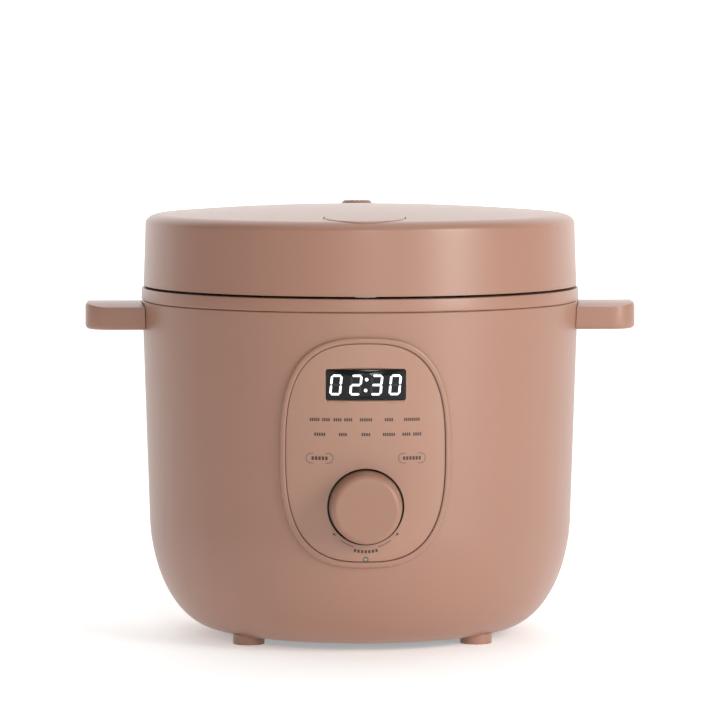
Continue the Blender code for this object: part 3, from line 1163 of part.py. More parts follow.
def make_vent():
    """The steam vent: a cap plugged into the lid, a valve tube with its ball, and a seal."""
    crown_here = CROWN_Z - DOME_RISE * (VENT_Y / DOME_RADIUS) ** 2
    top = crown_here + CAP_PROUD
    cap = turned("steam_vent_cap", [(0.0, top), (CAP_TOP_RADIUS, top),
                                    (CAP_BASE_RADIUS, crown_here), (CAP_BASE_RADIUS, top - 6 * MM),
                                    (0.0, top - 6 * MM)],
                 steps=SMALL_STEPS, closed=False, at=(0, VENT_Y, 0))
    cut(cap, lid_solid("cap_seat", FIT_GAP))
    plug_low = crown_here - CAP_PLUG_LENGTH
    plug = turned("cap_plug", [(CAP_PLUG_RADIUS, top - 0.9 * MM), (CAP_PLUG_RADIUS, plug_low),
                               (CAP_PLUG_RADIUS - 1.6 * MM, plug_low),
                               (CAP_PLUG_RADIUS - 1.6 * MM, top - 0.9 * MM)],
                  steps=SMALL_STEPS, tool=True, at=(0, VENT_Y, 0))
    join(cap, plug)
    for index, x in enumerate((-2.6 * MM, 0.0, 2.6 * MM)):
        cut(cap, box(f"cap_slot_{index}", (x - 0.6 * MM, VENT_Y - 3.4 * MM, top - 4 * MM),
                     (x + 0.6 * MM, VENT_Y + 3.4 * MM, top + 1 * MM), tool=True))

    flange = LINER_TOP_Z + FIT_GAP
    seat = flange + 6 * MM
    tube_top = plug_low - 3 * MM
    inner = VENT_TUBE_RADIUS - VENT_TUBE_WALL
    nozzle_low = INNER_PLATE_TOP_Z + FIT_GAP
    profile = [(VENT_TUBE_RADIUS, tube_top), (VENT_TUBE_RADIUS, flange + 1.8 * MM),
               (VENT_FLANGE_RADIUS, flange + 1.8 * MM), (VENT_FLANGE_RADIUS, flange),
               (NOZZLE_RADIUS, flange), (NOZZLE_RADIUS, nozzle_low), (STEAM_BORE, nozzle_low),
               (STEAM_BORE, seat), (inner, seat), (inner, tube_top)]
    turned("vent_body", profile, steps=SMALL_STEPS, at=(0, VENT_Y, 0))

    seal_inner = NOZZLE_RADIUS + FIT_GAP
    turned("vent_seal", [(seal_inner + 3 * MM, LINER_Z - FIT_GAP),
                         (seal_inner + 3 * MM, INNER_PLATE_TOP_Z + FIT_GAP),
                         (seal_inner, INNER_PLATE_TOP_Z + FIT_GAP), (seal_inner, LINER_Z - FIT_GAP)],
           steps=SMALL_STEPS, at=(0, VENT_Y, 0))

    shape = bmesh.new()
    rise = math.sqrt(BALL_RADIUS ** 2 - STEAM_BORE ** 2)
    middle = (0, VENT_Y, seat + rise + FIT_GAP)
    bmesh.ops.create_uvsphere(shape, u_segments=12, v_segments=8, radius=BALL_RADIUS,
                              matrix=Matrix.Translation(middle))
    mesh_object("vent_ball", shape)
    return cap


def make_hinge():
    """The hinge pin through lugs and barrels, and the lid spring wound around it."""
    end = LUG_OUTER_X + PIN_END
    rod("hinge_pin", PIN_RADIUS, (-end, HINGE_Y, HINGE_Z), (end, HINGE_Y, HINGE_Z), TINY_STEPS)
    reach = BARREL_INNER_X - 0.6 * MM
    coil("hinge_spring", PIN_RADIUS + 1.4 * MM, 0.7 * MM, (-reach, HINGE_Y, HINGE_Z),
         (reach, HINGE_Y, HINGE_Z), turns=5)


# ---------------------------------------------------------------------------------------------------
# Materials, motion and assembly
# ---------------------------------------------------------------------------------------------------

FINISHES = {
    # name: (sRGB colour, roughness, metallic)
    "clay_plastic": ("b98a76", 0.45, 0.0),
    "clay_gloss": ("be917c", 0.22, 0.0),
    "dark_plastic": ("17171a", 0.30, 0.0),
    "white_plastic": ("d9d6d0", 0.45, 0.0),
    "light_pipe": ("e8e4dc", 0.20, 0.0),
    "silicone": ("c9c7c2", 0.60, 0.0),
    "steel": ("b8babd", 0.35, 1.0),
    "aluminium": ("cfd1d3", 0.40, 1.0),
    "brass": ("c8a24a", 0.35, 1.0),
    "pot_coating": ("3a3a3c", 0.40, 0.2),
    "circuit_board": ("1f5a36", 0.50, 0.0),
}

FINISH_OF = {
    "clay_plastic": ["body_shell", "body_collar", "left_handle", "right_handle", "control_panel_bezel",
                     "lid_cover", "lid_button", "steam_vent_cap", "foot_front_left", "foot_front_right",
                     "foot_rear_left", "foot_rear_right", "control_knob", "base_cover"],
    "clay_gloss": ["control_panel_face", "dial_ring"],
    "dark_plastic": ["display_window", "power_inlet", "encoder_housing"],
    "white_plastic": ["lid_liner", "lid_latch", "inner_lid_clip", "vent_body", "display_module",
                      "encoder_rotor"],
    "light_pipe": ["indicator_light_pipe"],
    "silicone": ["lid_gasket", "vent_seal", "side_heater_band"],
    "aluminium": ["heating_plate", "inner_lid_plate", "thermostat_sensor"],
    "brass": ["inlet_pin_live", "inlet_pin_neutral", "inlet_pin_earth"],
    "pot_coating": ["inner_pot"],
    "circuit_board": ["control_board", "power_board"],
}


def linear(channel):
    """One sRGB channel as a linear value."""
    return channel / 12.92 if channel <= 0.04045 else ((channel + 0.055) / 1.055) ** 2.4


def make_finish(name, hexcode, roughness, metallic):
    """A Principled material from a hex colour."""
    material = bpy.data.materials.new(name)
    material.use_nodes = True
    shader = material.node_tree.nodes["Principled BSDF"]
    colour = [linear(int(hexcode[i:i + 2], 16) / 255) for i in (0, 2, 4)]
    shader.inputs["Base Color"].default_value = (*colour, 1.0)
    shader.inputs["Roughness"].default_value = roughness
    shader.inputs["Metallic"].default_value = metallic
    return material


def paint_all():
    """Give every part its own material; metal is the finish of what the list leaves out."""
    finish_by_part = {part: finish for finish, names in FINISH_OF.items() for part in names}
    for thing in parts.objects:
        if thing.type != "MESH":
            continue
        finish = finish_by_part.get(thing.name, "steel")
        thing.data.materials.clear()
        thing.data.materials.append(make_finish(f"{thing.name}_{finish}", *FINISHES[finish]))
        thing.data.shade_smooth()
        thing.data.set_sharp_from_angle(angle=math.radians(35))


def axis_empty(name, at, parent=None):
    """An empty on a joint's axis."""
    empty = bpy.data.objects.new(name, None)
    parts.objects.link(empty)
    empty.empty_display_size = 0.01
    empty.matrix_world = Matrix.Translation(at)
    if parent is not None:
        hang(empty, parent)
    return empty


def hang(thing, parent):
    """Parent without moving."""
    bpy.context.view_layer.update()
    matrix = thing.matrix_world.copy()
    thing.parent = parent
    thing.matrix_parent_inverse = parent.matrix_world.inverted()
    bpy.context.view_layer.update()
    thing.matrix_world = matrix


def hang_moving_parts():
    """Hang each moving body's pieces on an empty that lies on its joint's axis."""
    lid = axis_empty("lid_hinge_axis", (0, HINGE_Y, HINGE_Z))
    groups = [
        (lid, ["lid_cover", "lid_liner", "inner_lid_plate", "lid_gasket", "inner_lid_clip",
               "button_spring", "vent_body", "vent_seal", "lid_screw_1", "lid_screw_2", "lid_screw_3",
               "lid_screw_4"]),
        (axis_empty("button_axis", (0, BUTTON_Y, CUP_TOP_Z), lid), ["lid_button"]),
        (axis_empty("latch_axis", (0, BUTTON_Y, LATCH_Z), lid), ["lid_latch"]),
        (axis_empty("vent_cap_axis", (0, VENT_Y, CROWN_Z), lid), ["steam_vent_cap"]),
        (axis_empty("vent_ball_axis", (0, VENT_Y, LINER_TOP_Z), lid), ["vent_ball"]),
    ]
    dial = axis_empty("dial_axis", (0, -ENCODER_BACK, KNOB_Z))
    groups.append((dial, ["encoder_rotor"]))
    groups.append((axis_empty("dial_push_axis", (0, -KNOB_BACK, KNOB_Z), dial),
                   ["control_knob", "knob_shaft"]))
    groups.append((axis_empty("thermostat_axis", (0, 0, SENSOR_TOP_Z)), ["thermostat_sensor"]))
    groups.append((axis_empty("pot_axis", (0, 0, POT_BOTTOM_Z)), ["inner_pot"]))
    for empty, names in groups:
        for name in names:
            hang(bpy.data.objects[name], empty)


def build():
    """Make every piece of the cooker."""
    clear_scene()
    make_body_shell()
    make_collar()
    make_handle("left_handle", -1)
    make_handle("right_handle", 1)
    make_base_cover()
    for number, (x, y) in enumerate(base_screw_places(), 1):
        screw(f"base_screw_{number}", x, y, GROUND_GAP + 0.2 * MM, BASE_SCREW_HEAD, 1.0 * MM,
              BASE_SCREW_RADIUS, 6.5 * MM)
    foot_x = FOOT_RING_RADIUS * math.cos(FOOT_ANGLE)
    foot_y = FOOT_RING_RADIUS * math.sin(FOOT_ANGLE)
    for row, y in (("front", -foot_y), ("rear", foot_y)):
        make_foot(f"foot_{row}_left", -foot_x, y)
        make_foot(f"foot_{row}_right", foot_x, y)
    make_cooking_well()
    make_inner_pot()
    make_heating_plate()
    make_heating_element()
    make_side_heater_band()
    make_thermostat()
    make_thermal_fuse()
    make_panel_frame()
    make_panel_face()
    make_dial_ring()
    make_display()
    make_control_board()
    make_light_pipe()
    make_touch_springs()
    make_dial()
    make_power_board()
    make_inlet()
    make_lid_cover()
    make_liner()
    for number, (x, y) in enumerate(lid_screw_places(), 1):
        screw(f"lid_screw_{number}", x, y, LINER_Z - FIT_GAP - 1.1 * MM, LID_SCREW_HEAD, 1.1 * MM,
              LID_SCREW_RADIUS, 9 * MM)
    make_inner_lid()
    make_button()
    make_latch()
    make_vent()
    make_hinge()
    paint_all()
    hang_moving_parts()


build()
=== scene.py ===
# %% [markdown]
# # An electric multi cooker, finished around its CAD model
#
# The CAD model gives every part its place, its motion and its plain shape.  This script keeps that frame
# and makes the surfaces that the eye sees: fine turned shells, a curved panel with its printing and its
# display, a dial, a hinged lid and the pot under it.  Each step says what the piece is on the real object,
# how it could be made, and why this way was chosen.

# %% Load the frame
import json
import math

import bmesh
import bpy
from mathutils import Matrix, Vector
from mathutils.geometry import delaunay_2d_cdt


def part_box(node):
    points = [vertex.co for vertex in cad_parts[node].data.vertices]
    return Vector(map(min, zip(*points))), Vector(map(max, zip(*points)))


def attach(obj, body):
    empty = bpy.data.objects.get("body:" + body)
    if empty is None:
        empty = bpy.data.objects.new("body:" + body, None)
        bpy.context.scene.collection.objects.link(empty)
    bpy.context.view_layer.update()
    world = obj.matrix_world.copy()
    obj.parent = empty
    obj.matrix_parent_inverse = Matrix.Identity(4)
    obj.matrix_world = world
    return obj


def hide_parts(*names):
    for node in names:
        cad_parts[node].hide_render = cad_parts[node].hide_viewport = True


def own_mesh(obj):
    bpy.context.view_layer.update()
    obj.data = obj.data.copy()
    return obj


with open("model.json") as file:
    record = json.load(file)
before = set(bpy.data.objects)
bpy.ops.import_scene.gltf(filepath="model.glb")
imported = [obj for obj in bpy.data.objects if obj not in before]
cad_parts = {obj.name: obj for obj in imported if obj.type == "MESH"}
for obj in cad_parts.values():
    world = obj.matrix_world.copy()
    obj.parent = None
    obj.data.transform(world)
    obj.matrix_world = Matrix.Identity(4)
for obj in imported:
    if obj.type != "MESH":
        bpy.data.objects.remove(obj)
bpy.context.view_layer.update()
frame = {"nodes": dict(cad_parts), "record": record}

# %% [markdown]
# ## Sizes
#
# Every size is in millimetres, as on a drawing, and is turned to metres when a mesh is stored.  The body
# is a drum that narrows a little and then turns under in an elliptical corner, so one rule gives its
# radius at any height, and everything that fits the body reads the same rule.

# %% Sizes of the body, lid and panel
MM = 0.001
GAP = 0.3

BODY_R, BODY_TOP, LOW_R, CORNER_TOP = 108.9, 167.0, 105.6, 62.0
FLAT_R, CORNER_W, GROUND = 71.8, 33.8, 3.5
WALL = 2.4
COVER_R, COVER_TOP = 68.3, 6.5
COLLAR_R, COLLAR_LOW, COLLAR_TOP = 109.3, 167.3, 173.5
LEDGE, DECK_LOW, MOAT_R, DECK_R = 171.5, 168.9, 98.0, 88.3
LID_LOW, LID_R, LID_TOP_R, SHOULDER = 174.7, 108.3, 107.3, 205.5
DOME_R, DOME_EDGE, CROWN = 99.0, 210.3, 214.4
LID_WALL = 2.2
FRAME_W, FRAME_H, PANEL_Z = 82.4, 110.8, 99.8
KNOB_Z, KNOB_R, DISPLAY_Z, KEY_X, KEY_Z = 73.9, 17.65, 132.6, 22.1, 97.3
BUTTON_Y, BUTTON_R = -84.5, 19.6
VENT_Y = 64.0
HINGE_Y, HINGE_Z = 114.7, 174.0
BARREL_X, BARREL_R, LUG_X, LUG_R, PIN_BORE = (9.0, 22.9), 4.8, (23.2, 30.5), 6.07, 2.3
INLET_Z, INLET_OPENING = 37.0, (28.6, 20.6)
OPENING, FACE = (80.4, 108.8), (76.2, 104.6)     # the shell's opening for the panel, and its face
DIAL_HOLE, DISPLAY, LIGHT_Z, LIGHT_HOLE = 18.5, (37.8, 14.5), 48.5, 1.25
LID_SCREW_RING, BASE_SCREW_RING, SCREW_HOLE = 97.6, 63.15, 1.7
OUTLINE_POWER = 2.8
RING_STEPS = 240


def body_radius(z, lift=0.0):
    """Radius of the body at height z, or of a surface that lies lift outside it."""
    if z >= CORNER_TOP:
        return LOW_R + (BODY_R - LOW_R) * (z - CORNER_TOP) / (BODY_TOP - CORNER_TOP) + lift
    drop = min(1.0, (CORNER_TOP - z) / (CORNER_TOP - GROUND + lift))
    return FLAT_R + (CORNER_W + lift) * math.sqrt(1.0 - drop * drop)


def lid_height(r, lift=0.0):
    """Height of the lid's dome at radius r."""
    return CROWN + lift - (CROWN - DOME_EDGE) * (r / DOME_R) ** 2


shell_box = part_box("body_shell")
print("the CAD shell is", round(shell_box[1][0] * 1000, 1), "mm in radius; this script's is", BODY_R)

# %% [markdown]
# ## Shapes
#
# Most of this cooker is turned: a profile goes round an axis.  That could be done with the Screw modifier
# or with bmesh.ops.spin.  A Geometry Nodes tree that sweeps the profile round a circle does the same, and
# keeps the number of steps as a named input, so the same tree serves a screw and the whole body.

# %% A node helper and the turning tree


def add_node(tree, kind, settings=None, links=None):
    """Add a node, set its sockets or properties by name, and link its inputs."""
    node = tree.nodes.new(kind)
    for name, value in (settings or {}).items():
        if isinstance(name, int) or name in node.inputs:
            node.inputs[name].default_value = value
        else:
            setattr(node, name, value)
    for name, source in (links or {}).items():
        tree.links.new(source, node.inputs[name])
    return node


def new_tree(name, inputs):
    """An empty Geometry Nodes tree with a geometry socket on each side and the named inputs."""
    tree = bpy.data.node_groups.new(name, "GeometryNodeTree")
    tree.interface.new_socket("Geometry", in_out="INPUT", socket_type="NodeSocketGeometry")
    tree.interface.new_socket("Geometry", in_out="OUTPUT", socket_type="NodeSocketGeometry")
    for socket, kind in inputs:
        tree.interface.new_socket(socket, in_out="INPUT", socket_type=kind)
    return tree, tree.nodes.new("NodeGroupInput"), tree.nodes.new("NodeGroupOutput")


def finish_tree(tree, given, result, geometry):
    """End a tree with real geometry and its material."""
    real = add_node(tree, "GeometryNodeRealizeInstances", links={"Geometry": geometry})
    painted = add_node(tree, "GeometryNodeSetMaterial",
                       links={"Geometry": real.outputs["Geometry"], "Material": given.outputs["Material"]})
    tree.links.new(painted.outputs["Geometry"], result.inputs["Geometry"])


turning, given, result = new_tree("turn_a_profile", [("Steps", "NodeSocketInt"),
                                                     ("Material", "NodeSocketMaterial")])
profile = add_node(turning, "GeometryNodeMeshToCurve", links={"Mesh": given.outputs["Geometry"]})
circle = add_node(turning, "GeometryNodeCurvePrimitiveCircle", {"Radius": 1.0},
                  {"Resolution": given.outputs["Steps"]})
upright = add_node(turning, "GeometryNodeSetCurveNormal", {"mode": "Z_UP"},
                   {"Curve": circle.outputs["Curve"]})
sweep = add_node(turning, "GeometryNodeCurveToMesh",
                 links={"Curve": upright.outputs["Curve"], "Profile Curve": profile.outputs["Curve"]})
finish_tree(turning, given, result, sweep.outputs["Mesh"])
print("the turning tree has", len(turning.nodes), "nodes")

# %% Run a tree on a mesh and get a plain mesh back


def run_tree(tree, mesh, **values):
    """Evaluate a tree on a mesh and return the plain mesh that comes out."""
    holder = bpy.data.objects.new(mesh.name, mesh)
    bpy.context.scene.collection.objects.link(holder)
    modifier = holder.modifiers.new("nodes", "NODES")
    modifier.node_group = tree
    for item in tree.interface.items_tree:
        if item.in_out == "INPUT" and item.name in values:
            modifier[item.identifier] = values[item.name]
    bpy.context.view_layer.update()
    graph = bpy.context.evaluated_depsgraph_get()
    made = bpy.data.meshes.new_from_object(holder.evaluated_get(graph))
    bpy.data.objects.remove(holder, do_unlink=True)
    return made


def clean(mesh, merge=0.002 * MM):
    """Merge doubles, drop slivers and point every face outwards."""
    shape = bmesh.new()
    shape.from_mesh(mesh)
    bmesh.ops.remove_doubles(shape, verts=shape.verts, dist=merge)
    bmesh.ops.dissolve_degenerate(shape, edges=shape.edges, dist=merge / 2)
    bmesh.ops.recalc_face_normals(shape, faces=shape.faces)
    shape.to_mesh(mesh)
    shape.free()
    return mesh


def turned(name, points, steps=RING_STEPS, closed=True, at=(0.0, 0.0, 0.0), towards="up"):
    """A turned mesh.  The profile is (radius, height) in mm; an open profile starts and ends on the axis."""
    line = bpy.data.meshes.new(name)
    edges = [(i, i + 1) for i in range(len(points) - 1)]
    if closed:
        edges.append((len(points) - 1, 0))
    line.from_pydata([(r * MM - 1.0, -z * MM, 0.0) for r, z in points], edges, [])
    mesh = clean(run_tree(turning, line, Steps=steps), 0.01 * MM)
    if towards == "front":
        mesh.transform(Matrix.Rotation(math.pi / 2, 4, "X"))
    mesh.transform(Matrix.Translation([v * MM for v in at]))
    return mesh


def arc(middle, radius, start, end, steps=6):
    """Points of an arc in a profile; the angles are in degrees."""
    angles = [math.radians(start + (end - start) * i / steps) for i in range(steps + 1)]
    return [(middle[0] + radius * math.cos(a), middle[1] + radius * math.sin(a)) for a in angles]


# %% [markdown]
# Shapes that aren't turned are flat outlines with a thickness, or round bars.  Booleans then join and cut
# them, as a moulder's tool does, and the exact solver keeps each result closed.

# %% Slabs, bars and Booleans


def prism(name, outline, near, far, axis="y"):
    """A closed outline pushed through from near to far along one axis, in mm."""
    shape = bmesh.new()
    rings = []
    for depth in (near, far):
        ring = []
        for u, v in outline:
            spot = {"x": (depth, u, v), "y": (u, depth, v), "z": (u, v, depth)}[axis]
            ring.append(shape.verts.new([value * MM for value in spot]))
        rings.append(ring)
    count = len(outline)
    shape.faces.new(rings[0])
    shape.faces.new(rings[1])
    for i in range(count):
        j = (i + 1) % count
        shape.faces.new((rings[0][i], rings[0][j], rings[1][j], rings[1][i]))
    bmesh.ops.recalc_face_normals(shape, faces=shape.faces)
    mesh = bpy.data.meshes.new(name)
    shape.to_mesh(mesh)
    shape.free()
    return mesh


def bar(name, radius, start, end, steps=48):
    """A round bar between two points, in mm."""
    first, last = Vector(start) * MM, Vector(end) * MM
    turn = Vector((0, 0, 1)).rotation_difference(last - first).to_matrix().to_4x4()
    shape = bmesh.new()
    bmesh.ops.create_cone(shape, cap_ends=True, segments=steps, radius1=radius * MM, radius2=radius * MM,
                          depth=(last - first).length, matrix=Matrix.Translation((first + last) / 2) @ turn)
    mesh = bpy.data.meshes.new(name)
    shape.to_mesh(mesh)
    shape.free()
    return mesh


def block(name, low, high):
    """A box between two corners, in mm."""
    return prism(name, [(low[0], low[1]), (high[0], low[1]), (high[0], high[1]), (low[0], high[1])],
                 low[2], high[2], "z")


def shaped(mesh, *steps):
    """Join (+), cut (-) or keep only what is inside (&) other meshes, one after another."""
    piece = bpy.data.objects.new(mesh.name, mesh)
    bpy.context.scene.collection.objects.link(piece)
    tools = []
    for sign, tool_mesh in steps:
        tool = bpy.data.objects.new("tool", tool_mesh)
        bpy.context.scene.collection.objects.link(tool)
        tools.append(tool)
        step = piece.modifiers.new("step", "BOOLEAN")
        step.operation = {"+": "UNION", "-": "DIFFERENCE", "&": "INTERSECT"}[sign]
        step.solver = "EXACT"
        step.object = tool
    bpy.context.view_layer.update()
    graph = bpy.context.evaluated_depsgraph_get()
    made = bpy.data.meshes.new_from_object(piece.evaluated_get(graph))
    for thing in [piece, *tools]:
        bpy.data.objects.remove(thing, do_unlink=True)
    return clean(made, 0.001 * MM)


def rounded(width, height, corner, middle=(0.0, 0.0), steps=8):
    """Outline of a rectangle with round corners."""
    points = []
    for quarter, (su, sv) in enumerate(((1, 1), (-1, 1), (-1, -1), (1, -1))):
        centre = (middle[0] + su * (width / 2 - corner), middle[1] + sv * (height / 2 - corner))
        points += arc(centre, corner, 90 * quarter, 90 * quarter + 90, steps)
    return points


def superellipse(width, height, middle=(0.0, PANEL_Z), count=256, power=OUTLINE_POWER):
    """Outline between an ellipse and a rectangle, as the panel's frame has."""
    points = []
    for i in range(count):
        angle = 2 * math.pi * (i + 0.5) / count
        c, s = math.cos(angle), math.sin(angle)
        points.append((middle[0] + math.copysign(abs(c) ** (2 / power), c) * width / 2,
                       middle[1] + math.copysign(abs(s) ** (2 / power), s) * height / 2))
    return points


def body_line(lift, top, low=GROUND, steps=40):
    """(radius, z) down the body's outside from top to low."""
    depth = CORNER_TOP - GROUND + lift
    last = math.asin(min(1.0, (CORNER_TOP - low) / depth)) if low > GROUND - lift + 0.001 else math.pi / 2
    line = [(body_radius(top - (top - CORNER_TOP) * i / 12, lift), top - (top - CORNER_TOP) * i / 12)
            for i in range(12)]
    for i in range(steps + 1):
        angle = last * i / steps
        line.append((FLAT_R + (CORNER_W + lift) * math.cos(angle), CORNER_TOP - depth * math.sin(angle)))
    return line


def body_solid(lift, top):
    """All the space inside the body's outside; a tool for what sits on the body."""
    line = body_line(lift, top)
    return turned("body_solid", [(0.0, top)] + line + [(0.0, line[-1][1])], closed=False)


def lid_line(lift, low=LID_LOW):
    """(radius, z) from the crown over the shoulder to the lid's lower edge."""
    line = [(DOME_R * i / 24, lid_height(DOME_R * i / 24, lift)) for i in range(24)]
    for i in range(17):
        angle = math.pi / 2 * (1 - i / 16)
        line.append((DOME_R + (LID_TOP_R - DOME_R + lift) * math.cos(angle),
                     SHOULDER + (DOME_EDGE - SHOULDER + lift) * math.sin(angle)))
    for i in range(1, 9):
        z = SHOULDER + (low - SHOULDER) * i / 8
        line.append((LID_TOP_R + lift + (LID_R - LID_TOP_R) * (SHOULDER - z) / (SHOULDER - LID_LOW), z))
    return line


def lid_solid(lift):
    """All the space inside the lid's outside."""
    return turned("lid_solid", lid_line(lift) + [(0.0, LID_LOW)], closed=False)


print("the helpers are ready")

# %% [markdown]
# ## Finishes
#
# A moulded plastic isn't one flat colour: its skin has a very fine grain from the tool, and its colour
# and its gloss wander a little over the part.  One tree serves every finish.  Two noises read Object
# coordinates, a fine one for the grain (as bump) and a broad one for the wandering, and each size is
# given in millimetres.

# %% The finish maker


def linear(code, alpha=1.0):
    """An sRGB hex colour as linear RGBA."""
    parts = [int(code[i:i + 2], 16) / 255 for i in (1, 3, 5)]
    return (*[p / 12.92 if p <= 0.04045 else ((p + 0.055) / 1.055) ** 2.4 for p in parts], alpha)


def finish(name, colour, wander, rough, grain, depth, stretch=(1, 1, 1), **constant):
    """A material: two near colours, a roughness range, a grain in mm and its depth in mm."""
    made = bpy.data.materials.new(name)
    made.use_nodes = True
    tree = made.node_tree
    shader = tree.nodes["Principled BSDF"]
    place = add_node(tree, "ShaderNodeTexCoord")
    axes = add_node(tree, "ShaderNodeMapping", {"Scale": stretch}, {"Vector": place.outputs["Object"]})
    fine = add_node(tree, "ShaderNodeTexNoise", {"Scale": 1.0 / (grain * MM), "Detail": 3.0},
                    {"Vector": axes.outputs["Vector"]})
    broad = add_node(tree, "ShaderNodeTexNoise", {"Scale": 1.0 / (60 * MM), "Detail": 2.0},
                     {"Vector": place.outputs["Object"]})
    tint = add_node(tree, "ShaderNodeMix", {"data_type": "RGBA", 6: linear(colour), 7: linear(wander)},
                    {0: broad.outputs["Fac"]})
    gloss = add_node(tree, "ShaderNodeMapRange", {"To Min": rough[0], "To Max": rough[1]},
                     {"Value": fine.outputs["Fac"]})
    relief = add_node(tree, "ShaderNodeBump", {"Strength": 0.6, "Distance": depth * MM},
                      {"Height": fine.outputs["Fac"]})
    tree.links.new(tint.outputs[2], shader.inputs["Base Color"])
    tree.links.new(gloss.outputs["Result"], shader.inputs["Roughness"])
    tree.links.new(relief.outputs["Normal"], shader.inputs["Normal"])
    for socket, value in constant.items():
        shader.inputs[socket.replace("_", " ")].default_value = value
    return made


# %% The finishes of this cooker
# PP or ABS moulded with a satin skin: broad soft highlights.  The grain is drawn at 0.9 mm, coarser than a
# real 0.1 mm spark grain, so that it shows at all.
satin_clay = finish("moulded_satin_clay_plastic", "#9f7562", "#9b715e", (0.36, 0.44), 0.9, 0.012,
                    Coat_Weight=0.25, Coat_Roughness=0.32)
# The panel is a film-faced moulding: smoother and glossier than the shell.
gloss_clay = finish("film_faced_gloss_clay_panel", "#a47b67", "#a07763", (0.2, 0.26), 1.4, 0.004,
                    Coat_Weight=0.35, Coat_Roughness=0.12)
# The dial is cut by spark erosion in its tool: a little finer and more matt than the panel around it.
knob_clay = finish("fine_spark_eroded_clay_dial", "#9d7461", "#99705d", (0.34, 0.42), 0.7, 0.01)
# Smoked acrylic, polished: nearly black, with a clear reflection.
black_glass = finish("smoked_display_window", "#08080a", "#0b0b0d", (0.12, 0.16), 3.0, 0.001,
                     Specular_IOR_Level=0.3)
# LEDs behind the window: white light, and a trace of the bars that are off.
lit_digit = finish("lit_white_display_segment", "#f4f7ff", "#eef3ff", (0.3, 0.35), 1.0, 0.001,
                   Emission_Color=linear("#f1f5ff"), Emission_Strength=0.95)
unlit_digit = finish("unlit_display_segment", "#1b1b1e", "#18181b", (0.2, 0.3), 1.0, 0.001)
# Screen-printed ink: flat, matt and a little darker than the plastic.
print_ink = finish("screen_printed_dark_ink", "#3f2d26", "#392822", (0.4, 0.5), 0.8, 0.002)
# ABS with a light texture: a soft off-white that hides scratches inside the lid.
white_abs = finish("moulded_white_abs", "#d6d2ca", "#cfcbc2", (0.38, 0.46), 0.8, 0.01)
# Glass-filled PBT for hot and live parts: dry, dark and faintly rough.
black_pbt = finish("moulded_black_pbt", "#1c1c1e", "#222224", (0.42, 0.52), 0.6, 0.015)
# Polycarbonate light guide: clear, with an IOR of 1.58.
clear_pc = finish("clear_polycarbonate", "#e6e2da", "#e0dcd4", (0.08, 0.12), 2.0, 0.001,
                  Transmission_Weight=0.7, IOR=1.58)
# Food silicone from a matt tool: milky, with light that goes in a little way.
silicone = finish("moulded_translucent_silicone", "#cfccc4", "#c6c3bb", (0.5, 0.6), 1.2, 0.01,
                  Subsurface_Weight=0.15, IOR=1.41)
# Turned and polished sheet: the noise is stretched so that its streaks run round or across the part.
stainless = finish("brushed_stainless_steel", "#bdbbb6", "#b2b0ab", (0.2, 0.34), 0.5, 0.006, (1, 1, 12),
                   Metallic=1.0)
# Die-cast aluminium, faced on a lathe: grey and broadly shining.
aluminium = finish("cast_and_faced_aluminium", "#bcbcbc", "#aeaeae", (0.34, 0.5), 1.0, 0.03, Metallic=1.0)
# Drawn brass pins: drawing lines run along them.
brass = finish("drawn_brass", "#c9a55c", "#bd9850", (0.22, 0.32), 0.4, 0.006, (1, 8, 1), Metallic=1.0)
# Sprayed and baked coating: a dark skin with a fine orange peel, drawn at 0.8 mm.
nonstick = finish("sprayed_nonstick_coating", "#2b2b2c", "#323233", (0.3, 0.42), 0.8, 0.02)
# Solder mask over copper: green, smooth, a little uneven.
board = finish("solder_masked_circuit_board", "#1f5a37", "#1a5030", (0.3, 0.42), 1.5, 0.01)

BY_SLOT = {"housing": satin_clay, "panel": gloss_clay, "display_glass": black_glass,
           "white_plastic": white_abs, "dark_plastic": black_pbt, "clear_plastic": clear_pc,
           "silicone": silicone, "steel": stainless, "aluminium": aluminium, "pot_coating": nonstick,
           "brass": brass, "circuit_board": board}
SLOT_OF = {part["node"]: part["material_slot"] for part in frame["record"]["subparts"]}
for node, part in frame["nodes"].items():
    part.data.materials.clear()
    part.data.materials.append(BY_SLOT[SLOT_OF[node]])
print(len(BY_SLOT), "finishes on", len(SLOT_OF), "CAD nodes")

# %% [markdown]
# ## Placing a piece
#
# Each finished mesh takes the CAD node's place: it rides on the same body and hides the plain node, which
# stays in the physics model.  Edges sharper than 35 degrees stay crisp, and the rest is shaded smooth, so a
# turned wall shows no facets.

# %% One call places a piece
CREASE = math.radians(35)


def place(name, mesh, body, material, slot, nodes=(), bevel=0.0):
    """Give a mesh its finish and shading, and let it stand for CAD nodes."""
    mesh.name = name
    mesh.materials.clear()
    mesh.materials.append(material)
    for face in mesh.polygons:
        face.use_smooth = True
        face.material_index = 0
    mesh.set_sharp_from_angle(angle=CREASE)
    made = bpy.data.objects.new(name, mesh)
    bpy.context.scene.collection.objects.link(made)
    if bevel:
        edge = made.modifiers.new("edge", "BEVEL")
        edge.width = bevel * MM
        edge.segments = 2
        edge.limit_method = "ANGLE"
        edge.angle_limit = CREASE
    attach(made, body)
    if nodes:
        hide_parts(*nodes)
    return made


# %% [markdown]
# ## Body shell and collar
#
# The shell is one injection moulding, closed at the foot by a flange, and the collar is a second one that
# drops into it.  Both are turned, then cut: the shell for the control panel and the mains inlet, as a
# slide in the tool would.  Half a millimetre is taken off the two rims that meet, because that small
# bevel is what makes the parting line between them read as a fine dark line.

